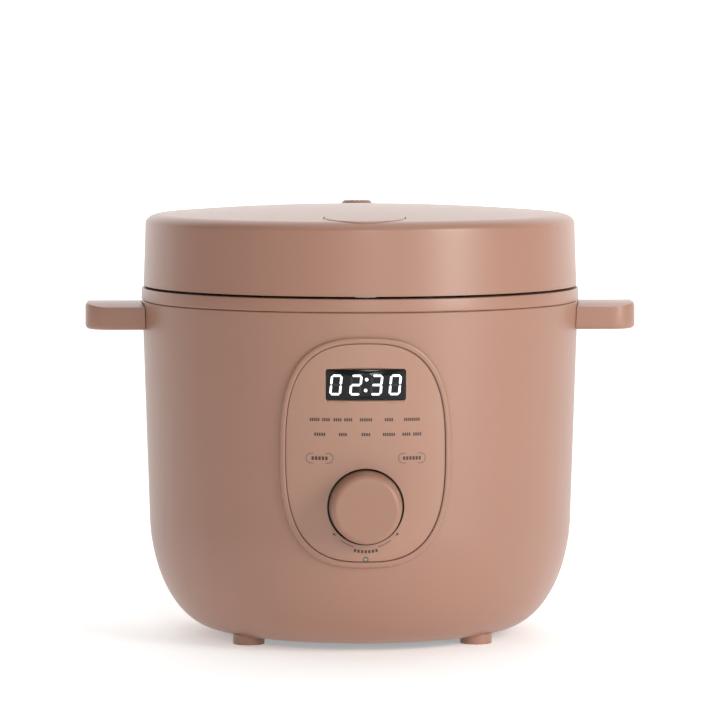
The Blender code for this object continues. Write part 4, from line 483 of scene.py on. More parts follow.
# %% Shell
RIM_BEVEL = 0.45
outside = body_line(0.0, BODY_TOP)
outside[0] = (BODY_R - RIM_BEVEL, BODY_TOP)
outside.insert(1, (BODY_R, BODY_TOP - RIM_BEVEL))
FLANGE_R, FLANGE_LOW, FLANGE_TOP = 56.0, 6.8, 9.2
inside = list(reversed(body_line(-WALL, BODY_TOP, low=FLANGE_TOP)))
foot = [(COVER_R + GAP, GROUND), (COVER_R + GAP, FLANGE_LOW), (FLANGE_R, FLANGE_LOW), (FLANGE_R, FLANGE_TOP)]
shell = shaped(turned("body_shell_fine", outside + foot + inside),
               ("-", prism("opening", superellipse(*OPENING), -140, -60)),
               ("-", prism("inlet_opening", rounded(*INLET_OPENING, 3, (0, INLET_Z)), 60, 140)))
place("body_shell_fine", shell, "root", satin_clay, "housing", ["body_shell"])
print("the shell has", len(shell.polygons), "faces")

# %% Collar, its deck and the two hinge lugs
SPIGOT_R, SPIGOT_WALL, SPIGOT_LOW, ROUND = 105.98, 2.0, 160.0, 0.6
collar_line = [(COLLAR_R - ROUND, COLLAR_TOP),
               *arc((COLLAR_R - ROUND, COLLAR_TOP - ROUND), ROUND, 60, 0, 3),
               (COLLAR_R, COLLAR_LOW + RIM_BEVEL), (COLLAR_R - RIM_BEVEL, COLLAR_LOW),
               (SPIGOT_R, COLLAR_LOW), (SPIGOT_R, SPIGOT_LOW),
               (SPIGOT_R - SPIGOT_WALL, SPIGOT_LOW), (SPIGOT_R - SPIGOT_WALL, DECK_LOW),
               (DECK_R, DECK_LOW), (DECK_R, LEDGE), (MOAT_R, LEDGE),
               (MOAT_R, COLLAR_TOP - 0.4), (MOAT_R + 0.4, COLLAR_TOP)]
steps = []
for side in (-1, 1):
    near, far = sorted(side * x for x in LUG_X)
    lug = bar("lug", LUG_R, (side * LUG_X[0], HINGE_Y, HINGE_Z), (side * LUG_X[1], HINGE_Y, HINGE_Z))
    arm = block("arm", (near, MOAT_R + 5, 168.2), (far, HINGE_Y, 173.2))
    steps += [("+", arm), ("+", lug)]
steps.append(("-", bar("pin_bore", PIN_BORE, (-34, HINGE_Y, HINGE_Z), (34, HINGE_Y, HINGE_Z), 24)))
print("the collar is", COLLAR_TOP - COLLAR_LOW, "mm high")
collar = shaped(turned("body_collar_fine", collar_line), *steps)
place("body_collar_fine", collar, "root", satin_clay, "housing", ["body_collar"])
print("the collar has", len(collar.polygons), "faces")

# %% [markdown]
# ## Handles
#
# Each lug handle is a crowned slab with round corners and a soft edge, hollowed below for the fingers.  A
# Bevel on a box would give one radius everywhere.  Stacked outlines, each a little smaller than the one
# below, give a rounded edge on a long corner exactly, and cutting with a big cylinder crowns the top as a
# tool maker would.

# %% Handles
HANDLE_TIP, HANDLE_HALF, HANDLE_LOW, HANDLE_TOP = 137.15, 20.0, 153.0, 166.6
HANDLE_ROOT, HANDLE_CORNER, HANDLE_EDGE, HANDLE_CROWN = 87.0, 13.0, 2.2, 2.3
GROOVE, GROOVE_CORNER, GROOVE_EDGE, GROOVE_DEPTH, GROOVE_OUT = (24.25, 32.0), 9.0, 1.5, 3, 13.1


def loft(name, rings, heights):
    """Join outlines with equal point counts, one at each height, into a closed shape."""
    shape = bmesh.new()
    levels = [[shape.verts.new((x * MM, y * MM, z * MM)) for x, y in ring] for ring, z in zip(rings, heights)]
    for low, high in zip(levels, levels[1:]):
        for i in range(len(low)):
            j = (i + 1) % len(low)
            shape.faces.new((low[i], low[j], high[j], high[i]))
    shape.faces.new(levels[0])
    shape.faces.new(levels[-1])
    bmesh.ops.recalc_face_normals(shape, faces=shape.faces)
    mesh = bpy.data.meshes.new(name)
    shape.to_mesh(mesh)
    shape.free()
    return mesh


def soft_slab(name, width, height, corner, middle, low, high, edge, steps=6):
    """A round-cornered slab whose upper and lower edges are rounded too."""
    rings, heights = [], []
    turns = [math.pi / 2 * i / steps for i in range(steps + 1)]
    for a in turns:
        inset = edge * (1 - math.sin(a))
        rings.append(rounded(width - 2 * inset, height - 2 * inset, corner - inset, middle, 10))
        heights.append(low + edge * (1 - math.cos(a)))
    for a in reversed(turns):
        inset = edge * (1 - math.sin(a))
        rings.append(rounded(width - 2 * inset, height - 2 * inset, corner - inset, middle, 10))
        heights.append(high - edge * (1 - math.cos(a)))
    return loft(name, rings, heights)


for side, name in ((-1, "left_handle"), (1, "right_handle")):
    middle = (side * (HANDLE_ROOT + HANDLE_TIP) / 2, 0.0)
    slab = soft_slab(name + "_fine", HANDLE_TIP - HANDLE_ROOT, 2 * HANDLE_HALF, HANDLE_CORNER, middle,
                     HANDLE_LOW, HANDLE_TOP, HANDLE_EDGE)
    crown_r = (HANDLE_HALF ** 2 + HANDLE_CROWN ** 2) / (2 * HANDLE_CROWN)
    crown = bar("crown", crown_r, (0, 0, HANDLE_TOP - crown_r), (side * 160, 0, HANDLE_TOP - crown_r), 400)
    groove = soft_slab("groove", *GROOVE, GROOVE_CORNER, (side * (BODY_R + GROOVE_OUT), 0.0),
                       HANDLE_LOW - 5, HANDLE_LOW + GROOVE_DEPTH, GROOVE_EDGE)
    handle = shaped(slab, ("&", crown), ("-", groove), ("-", body_solid(GAP, 172.0)))
    place(name + "_fine", handle, "root", satin_clay, "housing", [name])
print("the handles reach", HANDLE_TIP, "mm from the middle")

# %% [markdown]
# ## Panel frame and face
#
# The raised frame follows two rules at once: seen from the front it is a superellipse, and in depth it
# follows the drum.  Its section, a low rounded bead, is carried round the outline and pushed out from the
# drum's surface point by point.  The face inside it is one thin moulding on the same curve, triangulated
# over its outline so that the curve stays smooth between the openings.

# %% Frame


def on_body(x, z, lift):
    """Front point of the body surface at x and height z."""
    return -math.sqrt(body_radius(z, lift) ** 2 - x * x)


def carried(name, section, size=(FRAME_W, FRAME_H), count=320):
    """Carry a section of (inset, lift) pairs round the panel's outline."""
    shape = bmesh.new()
    rings = []
    for inset, lift in section:
        outline = superellipse(size[0] - 2 * inset, size[1] - 2 * inset, count=count)
        rings.append([shape.verts.new((x * MM, on_body(x, z, lift) * MM, z * MM)) for x, z in outline])
    for near, far in zip(rings, rings[1:] + rings[:1]):
        for i in range(count):
            j = (i + 1) % count
            shape.faces.new((near[i], near[j], far[j], far[i]))
    bmesh.ops.recalc_face_normals(shape, faces=shape.faces)
    mesh = bpy.data.meshes.new(name)
    shape.to_mesh(mesh)
    shape.free()
    return mesh


# The section's points are (how far in from the outline, how far out from the body's surface).
bead = [(0.0, 0.35), (0.0, 0.9), *[(0.9 - 0.9 * math.cos(a), 0.9 + 0.9 * math.sin(a))
                                    for a in (0.3, 0.7, 1.1, 1.5)],
        (1.9, 1.8), (2.35, 1.66), (2.65, 1.4), (2.8, 1.0), (2.8, -1.55), (4.8, -1.55), (4.8, -4.0),
        (1.35, -4.0), (1.35, 0.35)]
frame_piece = carried("control_panel_frame_fine", bead)
place("control_panel_frame_fine", frame_piece, "root", satin_clay, "housing", ["control_panel_bezel"])
print("the frame is", FRAME_W, "x", FRAME_H, "mm")

# %% Face: one curved moulding with its three openings


def circle(radius, middle, count=120):
    """Outline of a circle."""
    return [(middle[0] + radius * math.cos(2 * math.pi * (i + 0.5) / count),
             middle[1] + radius * math.sin(2 * math.pi * (i + 0.5) / count)) for i in range(count)]


def curved_plate(name, outline, holes, near, far, pitch=1.6):
    """A plate between two lifts of the body surface; it is triangulated so that it can follow the curve."""
    loops = [outline, *holes]
    points, edges = [], []
    for loop in loops:
        first = len(points)
        points += loop
        edges += [(first + i, first + (i + 1) % len(loop)) for i in range(len(loop))]
    low_x, high_x = min(p[0] for p in outline), max(p[0] for p in outline)
    low_z, high_z = min(p[1] for p in outline), max(p[1] for p in outline)

    def winds(loop, x, z):
        crossed = False
        for (x0, z0), (x1, z1) in zip(loop, loop[1:] + loop[:1]):
            if (z0 > z) != (z1 > z) and x < x0 + (z - z0) * (x1 - x0) / (z1 - z0):
                crossed = not crossed
        return crossed

    def solid_at(x, z):
        return winds(outline, x, z) and not any(winds(hole, x, z) for hole in holes)

    border = list(points)
    columns, rows = int((high_x - low_x) / pitch), int((high_z - low_z) / pitch)
    for i in range(1, columns):
        for j in range(1, rows):
            x, z = low_x + (high_x - low_x) * i / columns, low_z + (high_z - low_z) * j / rows
            if solid_at(x, z) and min((x - u) ** 2 + (z - w) ** 2 for u, w in border) > (pitch * 0.45) ** 2:
                points.append((x, z))
    found = delaunay_2d_cdt([Vector(p) for p in points], edges, [], 0, 1e-6)
    flat, triangles = found[0], found[2]
    shape = bmesh.new()
    front = [shape.verts.new((p.x * MM, on_body(p.x, p.y, far) * MM, p.y * MM)) for p in flat]
    back = [shape.verts.new((p.x * MM, on_body(p.x, p.y, near) * MM, p.y * MM)) for p in flat]
    used = {}
    for corners in triangles:
        middle = sum((flat[i] for i in corners), Vector((0, 0))) / 3
        if not solid_at(middle.x, middle.y):
            continue
        shape.faces.new([front[i] for i in corners])
        shape.faces.new([back[i] for i in reversed(corners)])
        for a, b in zip(corners, list(corners[1:]) + [corners[0]]):
            used[(a, b)] = True
    for a, b in used:
        if (b, a) not in used:
            shape.faces.new((front[b], front[a], back[a], back[b]))
    bmesh.ops.delete(shape, geom=[v for v in shape.verts if not v.link_faces], context="VERTS")
    bmesh.ops.recalc_face_normals(shape, faces=shape.faces)
    mesh = bpy.data.meshes.new(name)
    shape.to_mesh(mesh)
    shape.free()
    return mesh


FACE_BACK, FACE_FRONT, WINDOW_FRONT, WINDOW_CORNER = -1.2, 0.8, 0.85, 0.8
window_hole = rounded(DISPLAY[0] + 2 * GAP, DISPLAY[1] + 2 * GAP, WINDOW_CORNER + GAP, (0, DISPLAY_Z), 4)
face = curved_plate("panel_face_fine", superellipse(*FACE),
                    [circle(DIAL_HOLE, (0, KNOB_Z)), window_hole, circle(LIGHT_HOLE, (0, LIGHT_Z), 24)],
                    FACE_BACK, FACE_FRONT)
place("panel_face_fine", face, "root", gloss_clay, "panel", ["control_panel_face", "dial_ring"])
window = curved_plate("display_window_fine", rounded(*DISPLAY, WINDOW_CORNER, (0, DISPLAY_Z), 4), [],
                      FACE_BACK, WINDOW_FRONT)
place("display_window_fine", window, "root", black_glass, "display_glass", ["display_window"])
print("the face has", len(face.polygons), "faces")

# %% [markdown]
# ## Display digits
#
# The display shows a time with white seven-segment digits, slanted a little, and the segments that are
# off can just be seen.  Each segment is a hexagon, so one rule draws them all, and each digit is a list
# of the segments that are lit.  They are thin plates just proud of the window, following its curve.

# %% Digits
DIGIT_W, DIGIT_H, SEGMENT, SLANT = 5.6, 9.9, 1.05, math.tan(math.radians(5.5))
LIT = {"0": "abcdef", "2": "abged", "3": "abgcd"}


def segment(letter, at):
    """Outline of one segment of a digit whose middle is at."""
    half_w, half_h, t = DIGIT_W / 2 - SEGMENT / 2, DIGIT_H / 2 - SEGMENT / 2, SEGMENT / 2
    ends = {"a": ((-1, 1), (1, 1)), "b": ((1, 1), (1, 0)), "c": ((1, 0), (1, -1)), "d": ((-1, -1), (1, -1)),
            "e": ((-1, 0), (-1, -1)), "f": ((-1, 1), (-1, 0)), "g": ((-1, 0), (1, 0))}[letter]
    start, end = [Vector((u * half_w, v * half_h)) for u, v in ends]
    along = (end - start).normalized()
    across = Vector((-along.y, along.x)) * t
    start, end = start + along * 0.12, end - along * 0.12
    ring = [start, start + along * t + across, end - along * t + across, end,
            end - along * t - across, start + along * t - across]
    return [(at + p.x + p.y * SLANT, DISPLAY_Z + p.y) for p in ring]


lit, unlit = [], []
DIGIT_X, COLON_X, COLON_RISE, COLON_R = (-14.3, -4.8, 5.1, 14.0), 0.1, 2.6, 0.8
for figure, at in zip("0230", DIGIT_X):
    for letter in "abcdefg":
        (lit if letter in LIT[figure] else unlit).append(segment(letter, at))
for rise in (-COLON_RISE, COLON_RISE):
    lit.append(circle(COLON_R, (COLON_X + rise * SLANT, DISPLAY_Z + rise), 20))


def printed(name, outlines, near, far):
    """Many thin curved plates as one mesh."""
    shape = bmesh.new()
    for outline in outlines:
        bit = curved_plate(name, outline, [], near, far)
        shape.from_mesh(bit)
        bpy.data.meshes.remove(bit)
    mesh = bpy.data.meshes.new(name)
    shape.to_mesh(mesh)
    shape.free()
    return mesh


place("display_lit_segments", printed("lit", lit, 0.86, 0.9), "root", lit_digit, "white_plastic")
place("display_unlit_segments", printed("unlit", unlit, 0.86, 0.88), "root", unlit_digit, "display_glass")
print(len(lit), "marks lit and", len(unlit), "unlit")

# %% [markdown]
# ## Printing on the panel
#
# The panel's words are replaced by rows of small plain blocks, which keep their rhythm and their size
# without any lettering.  Each block is a point with a width.  A Geometry Nodes tree puts a flat block on
# every point, scales it to the point's width, and bends all of them onto the drum's straight taper.
#
# The tree knows the taper only.  Where the body turns under, just below the dial's middle, the face curves
# away from it: the ends of the dial's scale sink about 0.02 mm under the face, and the legend below stands
# up to 0.2 mm off it.  The key outlines have points only in their round ends, so their straight sides are
# chords that sink about 0.05 mm.  More points, and the corner's ellipse in the tree, would cure both.

# %% The printing tree
LIFT = 0.83
printing, given, result = new_tree(
    "print_on_the_drum", [("Radius", "NodeSocketFloat"), ("Slope", "NodeSocketFloat"),
                          ("Thickness", "NodeSocketFloat"), ("Material", "NodeSocketMaterial")])
flat = add_node(printing, "GeometryNodeMeshCube", {"Size": (1, 1, 1), "Vertices X": 3})
wide = add_node(printing, "GeometryNodeInputNamedAttribute", {"data_type": "FLOAT_VECTOR", "Name": "size"})
turn = add_node(printing, "GeometryNodeInputNamedAttribute", {"data_type": "FLOAT_VECTOR", "Name": "turn"})
spread = add_node(printing, "GeometryNodeInstanceOnPoints",
                  links={"Points": given.outputs["Geometry"], "Instance": flat.outputs["Mesh"],
                         "Scale": wide.outputs["Attribute"], "Rotation": turn.outputs["Attribute"]})
solid = add_node(printing, "GeometryNodeRealizeInstances", links={"Geometry": spread.outputs["Instances"]})
spot = add_node(printing, "GeometryNodeInputPosition")
part_of = add_node(printing, "ShaderNodeSeparateXYZ", links={"Vector": spot.outputs["Position"]})
tall = add_node(printing, "ShaderNodeMath", {"operation": "MULTIPLY"},
                {0: part_of.outputs["Z"], 1: given.outputs["Slope"]})
rad = add_node(printing, "ShaderNodeMath", {"operation": "ADD"},
               {0: tall.outputs[0], 1: given.outputs["Radius"]})
deep = add_node(printing, "ShaderNodeMath", {"operation": "MULTIPLY"},
                {0: part_of.outputs["Y"], 1: given.outputs["Thickness"]})
rad_deep = add_node(printing, "ShaderNodeMath", {"operation": "SUBTRACT"},
                    {0: rad.outputs[0], 1: deep.outputs[0]})
r2 = add_node(printing, "ShaderNodeMath", {"operation": "POWER", 1: 2.0}, {0: rad_deep.outputs[0]})
x2 = add_node(printing, "ShaderNodeMath", {"operation": "POWER", 1: 2.0}, {0: part_of.outputs["X"]})
left = add_node(printing, "ShaderNodeMath", {"operation": "SUBTRACT"}, {0: r2.outputs[0], 1: x2.outputs[0]})
root_of = add_node(printing, "ShaderNodeMath", {"operation": "SQRT"}, {0: left.outputs[0]})
front_y = add_node(printing, "ShaderNodeMath", {"operation": "MULTIPLY", 1: -1.0}, {0: root_of.outputs[0]})
bent = add_node(printing, "ShaderNodeCombineXYZ", links={"X": part_of.outputs["X"], "Y": front_y.outputs[0],
                                                         "Z": part_of.outputs["Z"]})
moved = add_node(printing, "GeometryNodeSetPosition",
                 links={"Geometry": solid.outputs["Geometry"], "Position": bent.outputs["Vector"]})
finish_tree(printing, given, result, moved.outputs["Geometry"])
print("the printing tree has", len(printing.nodes), "nodes")

# %% The blocks: two rows of words, two keys, the dial's legend and scale
LABELS = {115.9: ((5, 4), (4, 4), (6,), (4,), (8,)), 108.8: ((5,), (4,), (4,), (6,), (4, 4))}
WIDTHS = {115.9: (9.8, 9.2, 6.1, 4.3, 7.8), 108.8: (5.5, 4.1, 4.4, 6.1, 9.4)}
INK_H, KEY_INK_H, INK_SHARE, INK_THICK = 1.5, 1.7, 0.68, 0.02
LABEL_X = (-22, -11, 0, 11, 22)
LEGEND_R, SCALE_R, SCALE_HALF, SCALE_BITS, SCALE_BREAK = 21.6, 20.1, 47, 56, 17
blocks = []                                      # x, z, width, height, turn


def word(middle, z, width, groups, height=INK_H):
    """Fill a width with one block for each character, with a wider space between words."""
    count = sum(groups) + len(groups) - 1
    pitch = width / count
    x = middle - width / 2
    for group in groups:
        for _ in range(group):
            blocks.append((x + pitch / 2, z, pitch * INK_SHARE, height, 0.0))
            x += pitch
        x += pitch


for z, row in LABELS.items():
    for x, groups, width in zip(LABEL_X, row, WIDTHS[z]):
        word(x, z, width, groups)
word(-KEY_X, KEY_Z, 8.2, (5,), KEY_INK_H)
word(KEY_X, KEY_Z, 9.0, (6,), KEY_INK_H)


def round_dial(radius, degrees, width, height):
    """Add a block at an angle from straight below the dial's middle."""
    angle = math.radians(-90 + degrees)
    blocks.append((radius * math.cos(angle), KNOB_Z + radius * math.sin(angle), width, height,
                   angle + math.pi / 2))


for i in range(7):                               # legend under the dial
    round_dial(LEGEND_R, (i - 3) * 4.6, 1.0, 1.4)
for i in range(SCALE_BITS):                      # the scale's thin arc, in short straight pieces
    degrees = SCALE_HALF - 2 * SCALE_HALF * (i + 0.5) / SCALE_BITS
    if abs(degrees) > SCALE_BREAK:
        round_dial(SCALE_R, degrees, 0.62, 0.3)
seeds = bpy.data.meshes.new("panel_print")
seeds.from_pydata([(x * MM, 0.0, z * MM) for x, z, *_ in blocks], [], [])
size = seeds.attributes.new("size", "FLOAT_VECTOR", "POINT")
turned_by = seeds.attributes.new("turn", "FLOAT_VECTOR", "POINT")
for i, (_, _, width, height, angle) in enumerate(blocks):
    size.data[i].vector = (width * MM, 1.0, height * MM)
    turned_by.data[i].vector = (0.0, -angle, 0.0)
slope = (BODY_R - LOW_R) / (BODY_TOP - CORNER_TOP)
ink = run_tree(printing, seeds, Radius=(LOW_R + LIFT - slope * CORNER_TOP) * MM, Slope=slope,
               Thickness=INK_THICK * MM)
place("panel_print", ink, "root", print_ink, "dark_plastic")

# %% Key outlines and the scale's end dots


def ring_of(outer, inner, name):
    """A thin printed loop between two outlines."""
    return curved_plate(name, outer, [inner], LIFT - INK_THICK / 2, LIFT + INK_THICK / 2, 50)


loops = bmesh.new()
for side in (-1, 1):
    at = (side * KEY_X, KEY_Z)
    loops.from_mesh(ring_of(rounded(13.1, 5.0, 2.49, at, 12), rounded(12.6, 4.5, 2.24, at, 12), "key"))
    angle = math.radians(-90 + side * (SCALE_HALF + 2))
    dot = (SCALE_R * math.cos(angle), KNOB_Z + SCALE_R * math.sin(angle))
    loops.from_mesh(curved_plate("dot", circle(0.55, dot, 20), [], LIFT - INK_THICK / 2,
                                 LIFT + INK_THICK / 2, 50))
key_print = bpy.data.meshes.new("key_print")
loops.to_mesh(key_print)
loops.free()
place("key_print", key_print, "root", print_ink, "dark_plastic")
print(len(blocks), "printed blocks")

# %% [markdown]
# ## Dial
#
# The dial is a turned cap with a generous radius round its front, a slight draft and a hollow back with
# the boss that grips the shaft.  It lies on its side, so its profile is turned upright first and then
# tipped forward.

# %% Dial
KNOB_FRONT, KNOB_BACK, EDGE = 120.77, 103.97, 3.0
shaft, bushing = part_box("knob_shaft"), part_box("encoder_housing")
boss_end = -bushing[0][1] * 1000 + 2.2
bore_end = -shaft[0][1] * 1000 + GAP
front_r = KNOB_R - 0.9
dial_line = [(0.0, KNOB_FRONT), *arc((front_r - EDGE, KNOB_FRONT - EDGE), EDGE, 90, 2, 14),
             (KNOB_R, KNOB_BACK + 0.3),
             (KNOB_R - 0.3, KNOB_BACK), (KNOB_R - 2, KNOB_BACK), (front_r - 2, KNOB_FRONT - 3),
             (5.2, KNOB_FRONT - 3), (5.2, boss_end), (3.2, boss_end), (3.2, bore_end), (0.0, bore_end)]
dial = turned("control_knob_fine", dial_line, 160, False, (0, 0, KNOB_Z), "front")
place("control_knob_fine", dial, "dial_knob", knob_clay, "housing", ["control_knob"])
print("the dial stands", round(KNOB_FRONT - body_radius(KNOB_Z), 1), "mm proud of the body")

# %% [markdown]
# ## Lid
#
# The lid is one moulding: a shallow dome, a round shoulder and a skirt, with a cup for the open button, a
# hole for the steam vent and two barrels for the hinge.  It is turned from the same line that the button
# follows, so the button's top carries on the lid's surface.

# %% Lid cover
CUP_TOP, CUP_FLOOR = 200.925, 2.0
STEM = (-87.0, -82.0, 183.5, 2.7)                # front, back, tip, wedge
lid_mesh = turned("lid_cover_fine", lid_line(0.0) + list(reversed(lid_line(-LID_WALL))), closed=False)
cup = shaped(bar("cup", BUTTON_R + 1.85, (0, BUTTON_Y, CUP_TOP - CUP_FLOOR), (0, BUTTON_Y, 220), 96),
             ("&", lid_solid(-0.7)))
steps = [("+", cup)]


def ring_spots(radius, degrees):
    """Points on a circle at the given angles."""
    return [(radius * math.cos(math.radians(a)), radius * math.sin(math.radians(a))) for a in degrees]


screw_spots = ring_spots(LID_SCREW_RING, (45, 135, 225, 315))
for x, y in screw_spots:
    steps.append(("+", bar("boss", 3.2, (x, y, 180.3), (x, y, 208.6), 24)))
for side in (-1, 1):
    near, far = sorted(side * x for x in BARREL_X)
    web = shaped(block("web", (near, 97.5, 175.0), (far, HINGE_Y, 178.4)), ("-", lid_solid(-1.1)))
    barrel = bar("barrel", BARREL_R, (near, HINGE_Y, HINGE_Z), (far, HINGE_Y, HINGE_Z), 40)
    steps += [("+", web), ("+", barrel)]
steps += [("-", bar("pin_bore", PIN_BORE, (-24, HINGE_Y, HINGE_Z), (24, HINGE_Y, HINGE_Z), 24)),
          ("-", bar("button_hole", BUTTON_R + 0.4, (0, BUTTON_Y, CUP_TOP), (0, BUTTON_Y, 222), 160)),
          ("-", block("stem_hole", (-4.4, STEM[0] - 0.4, 195), (4.4, STEM[1] + 0.4, 202))),
          ("-", bar("vent_hole", 7.8, (0, VENT_Y, 203), (0, VENT_Y, 222), 64))]
steps += [("-", bar("boss_hole", SCREW_HOLE, (x, y, 180), (x, y, 191), 16)) for x, y in screw_spots]
place("lid_cover_fine", shaped(lid_mesh, *steps), "lid", satin_clay, "housing", ["lid_cover"])
print("the lid rises from", LID_LOW, "to", CROWN, "mm")

# %% [markdown]
# ## Open button and steam vent
#
# The button is a disc whose top is the lid's own surface, a little proud, with a small radius at its
# edge.  A flat disc would stand out of the shoulder at the front, so its rings of points are lifted one
# by one onto the lid's line.  The vent is a low turned cap with three slots.

# %% Button
BUTTON_PROUD = 0.4


def lid_surface(x, y, lift):
    """Height of the lid's outside at x, y, over the dome and down the shoulder."""
    r = math.hypot(x, y)
    if r <= DOME_R:
        return lid_height(r, lift)
    share = min(1.0, (r - DOME_R) / (LID_TOP_R - DOME_R + lift))
    return SHOULDER + (DOME_EDGE - SHOULDER + lift) * math.sqrt(1 - share * share)


def button_disc(steps=128):
    """The disc as rings of points, its top on the lid's surface."""
    shape = bmesh.new()
    rounding = [(math.pi / 2) * i / 5 for i in range(6)]
    top = [(BUTTON_R * i / 12, 0.0) for i in range(1, 12)]
    top += [(BUTTON_R - 0.8 + 0.8 * math.sin(a), -0.8 + 0.8 * math.cos(a)) for a in rounding]
    under = [(BUTTON_R, -2.6), (BUTTON_R - 0.4, -3.0), (BUTTON_R * 0.6, -3.0), (BUTTON_R * 0.3, -3.0)]
    rings = []
    for radius, drop in top + under:
        ring = []
        for i in range(steps):
            angle = 2 * math.pi * i / steps
            x, y = radius * math.cos(angle), BUTTON_Y + radius * math.sin(angle)
            ring.append(shape.verts.new((x * MM, y * MM, (lid_surface(x, y, BUTTON_PROUD) + drop) * MM)))
        rings.append(ring)
    for near, far in zip(rings, rings[1:]):
        for i in range(steps):
            j = (i + 1) % steps
            shape.faces.new((near[i], near[j], far[j], far[i]))
    for ring, drop in ((rings[0], 0.0), (rings[-1], -3.0)):
        centre = shape.verts.new((0, BUTTON_Y * MM, (lid_surface(0, BUTTON_Y, BUTTON_PROUD) + drop) * MM))
        for i in range(steps):
            shape.faces.new((ring[i], ring[(i + 1) % steps], centre))
    bmesh.ops.recalc_face_normals(shape, faces=shape.faces)
    mesh = bpy.data.meshes.new("lid_button_fine")
    shape.to_mesh(mesh)
    shape.free()
    return mesh


stem = prism("stem", [(STEM[0], 210.0), (STEM[0], STEM[2]), (STEM[1] - STEM[3], STEM[2]),
                      (STEM[1], STEM[2] + STEM[3]), (STEM[1], 210.0)], -4.0, 4.0, "x")
button = shaped(button_disc(), ("+", stem))
place("lid_button_fine", button, "button", satin_clay, "housing", ["lid_button"])
print("the button is", 2 * BUTTON_R, "mm across and stands", BUTTON_PROUD, "mm proud")

# %% Steam vent cap
vent_z = lid_height(VENT_Y)
vent_top = vent_z + 1.6
cap_line = [(0.0, vent_top), *arc((6.65, vent_top - 0.4), 0.4, 90, 20, 4), (8.5, vent_z), (8.5, vent_top - 6),
            (0.0, vent_top - 6)]
cap = shaped(turned("steam_vent_cap_fine", cap_line, 96, False, (0, VENT_Y, 0)), ("-", lid_solid(GAP)),
             ("+", turned("plug", [(7.4, vent_top - 0.9), (7.4, vent_z - 9), (5.8, vent_z - 9),
                                   (5.8, vent_top - 0.9)], 64, True, (0, VENT_Y, 0))),
             *[("-", block("slot", (x - 0.6, VENT_Y - 3.4, vent_top - 4),
                           (x + 0.6, VENT_Y + 3.4, vent_top + 1)))
               for x in (-2.6, 0.0, 2.6)])
place("steam_vent_cap_fine", cap, "vent_cap", satin_clay, "housing", ["steam_vent_cap"])
print("the vent's top is at", round(vent_top, 2), "mm")

# %% [markdown]
# ## Under the lid, and the pot
#
# What shows when the lid is open: the liner with its lip, the inner plate, the silicone gasket and the
# plug that holds the plate, and below them the coated pot in its steel well.  All but the plug are turned
# from their CAD profiles, with finer steps; the plug is one of the small parts further down.

# %% Liner, plate and gasket
liner_line = [(0.0, 180.0), (105.53, 180.0), (105.53, 175.9), (105.2, 175.6), (103.8, 175.6), (103.53, 175.9),
              (103.53, 178.0), (0.0, 178.0)]
steps = [("+", block("guide", (min(s * 8.9, s * 10.4), -94.4, 179.0), (max(s * 8.9, s * 10.4), -73.5, 185.0)))
         for s in (-1, 1)]
steps += [("-", block("catch_slot", (-5.7, -102.7, 173), (5.7, -98.1, 181))),
          ("-", bar("nozzle_hole", 6.3, (0, VENT_Y, 177), (0, VENT_Y, 181), 48)),
          ("-", bar("clip_hole", 3.9, (0, 0, 177), (0, 0, 181), 32))]
steps += [("-", bar("screw_hole", SCREW_HOLE, (x, y, 177), (x, y, 181), 16)) for x, y in screw_spots]
place("lid_liner_fine", shaped(turned("liner", liner_line, closed=False), *steps), "lid", white_abs,
      SLOT_OF["lid_liner"], ["lid_liner"])
disc_line = [(0.0, 175.7), (86.0, 175.7), (87.3, 175.7), (87.5, 175.5), (87.5, 175.1), (87.3, 174.9),
             (80.0, 174.9), (79.2, 175.1), (76.8, 175.1), (76.0, 174.9), (0.0, 174.9)]
disc = shaped(turned("plate", disc_line, closed=False),
              ("-", bar("hole", 3.9, (0, 0, 174), (0, 0, 177), 32)),
              ("-", bar("steam", 3.0, (0, VENT_Y, 174), (0, VENT_Y, 177), 32)))
place("inner_lid_plate_fine", disc, "lid", aluminium, "aluminium", ["inner_lid_plate"])
gasket_line = [(94.0, 177.7), *arc((93.4, 174.2), 0.6, 0, -90, 4), *arc((85.5, 174.1), 0.5, -90, -180, 4),
               (85.0, 174.6), (87.8, 174.6), (87.8, 177.7)]
place("lid_gasket_fine", turned("gasket", gasket_line), "lid", silicone, "silicone", ["lid_gasket"])
print("the gasket is", 2 * 94, "mm across")

# %% Pot and well
pot_line = [(0.0, 37.8), *arc((68.5, 52.0), 14.2, -90, 0, 12), (82.7, 171.3),
            *arc((84.7, 171.3), 2.0, 180, 90, 5),
            (91.6, 173.3), (92.0, 172.9), (92.0, 172.2), (91.6, 171.8), (84.5, 171.8),
            *arc((68.5, 52.0), 16.0, 0, -90, 12), (0.0, 36.0)]
place("inner_pot_fine", turned("pot", pot_line, closed=False), "pot", nonstick, SLOT_OF["inner_pot"],
      ["inner_pot"])
well_line = [(20.0, 22.0), *arc((83.8, 26.0), 4.0, -90, 0, 6), (87.8, 167.8), (93.5, 167.8), (93.5, 168.6),
             (87.0, 168.6), *arc((83.8, 26.0), 3.2, 0, -90, 6), (20.0, 22.8)]
place("cooking_well_fine", turned("well", well_line), "root", stainless, SLOT_OF["cooking_well"],
      ["cooking_well"])
print("the pot is", 2 * 82.7, "mm across inside")

# %% [markdown]
# ## Underside and screws
#
# The base cover has eight slots and four screws.  One screw is drawn, and a small Geometry Nodes tree
# sets it on each point, for the base and again for the lid, with the screw as an input.

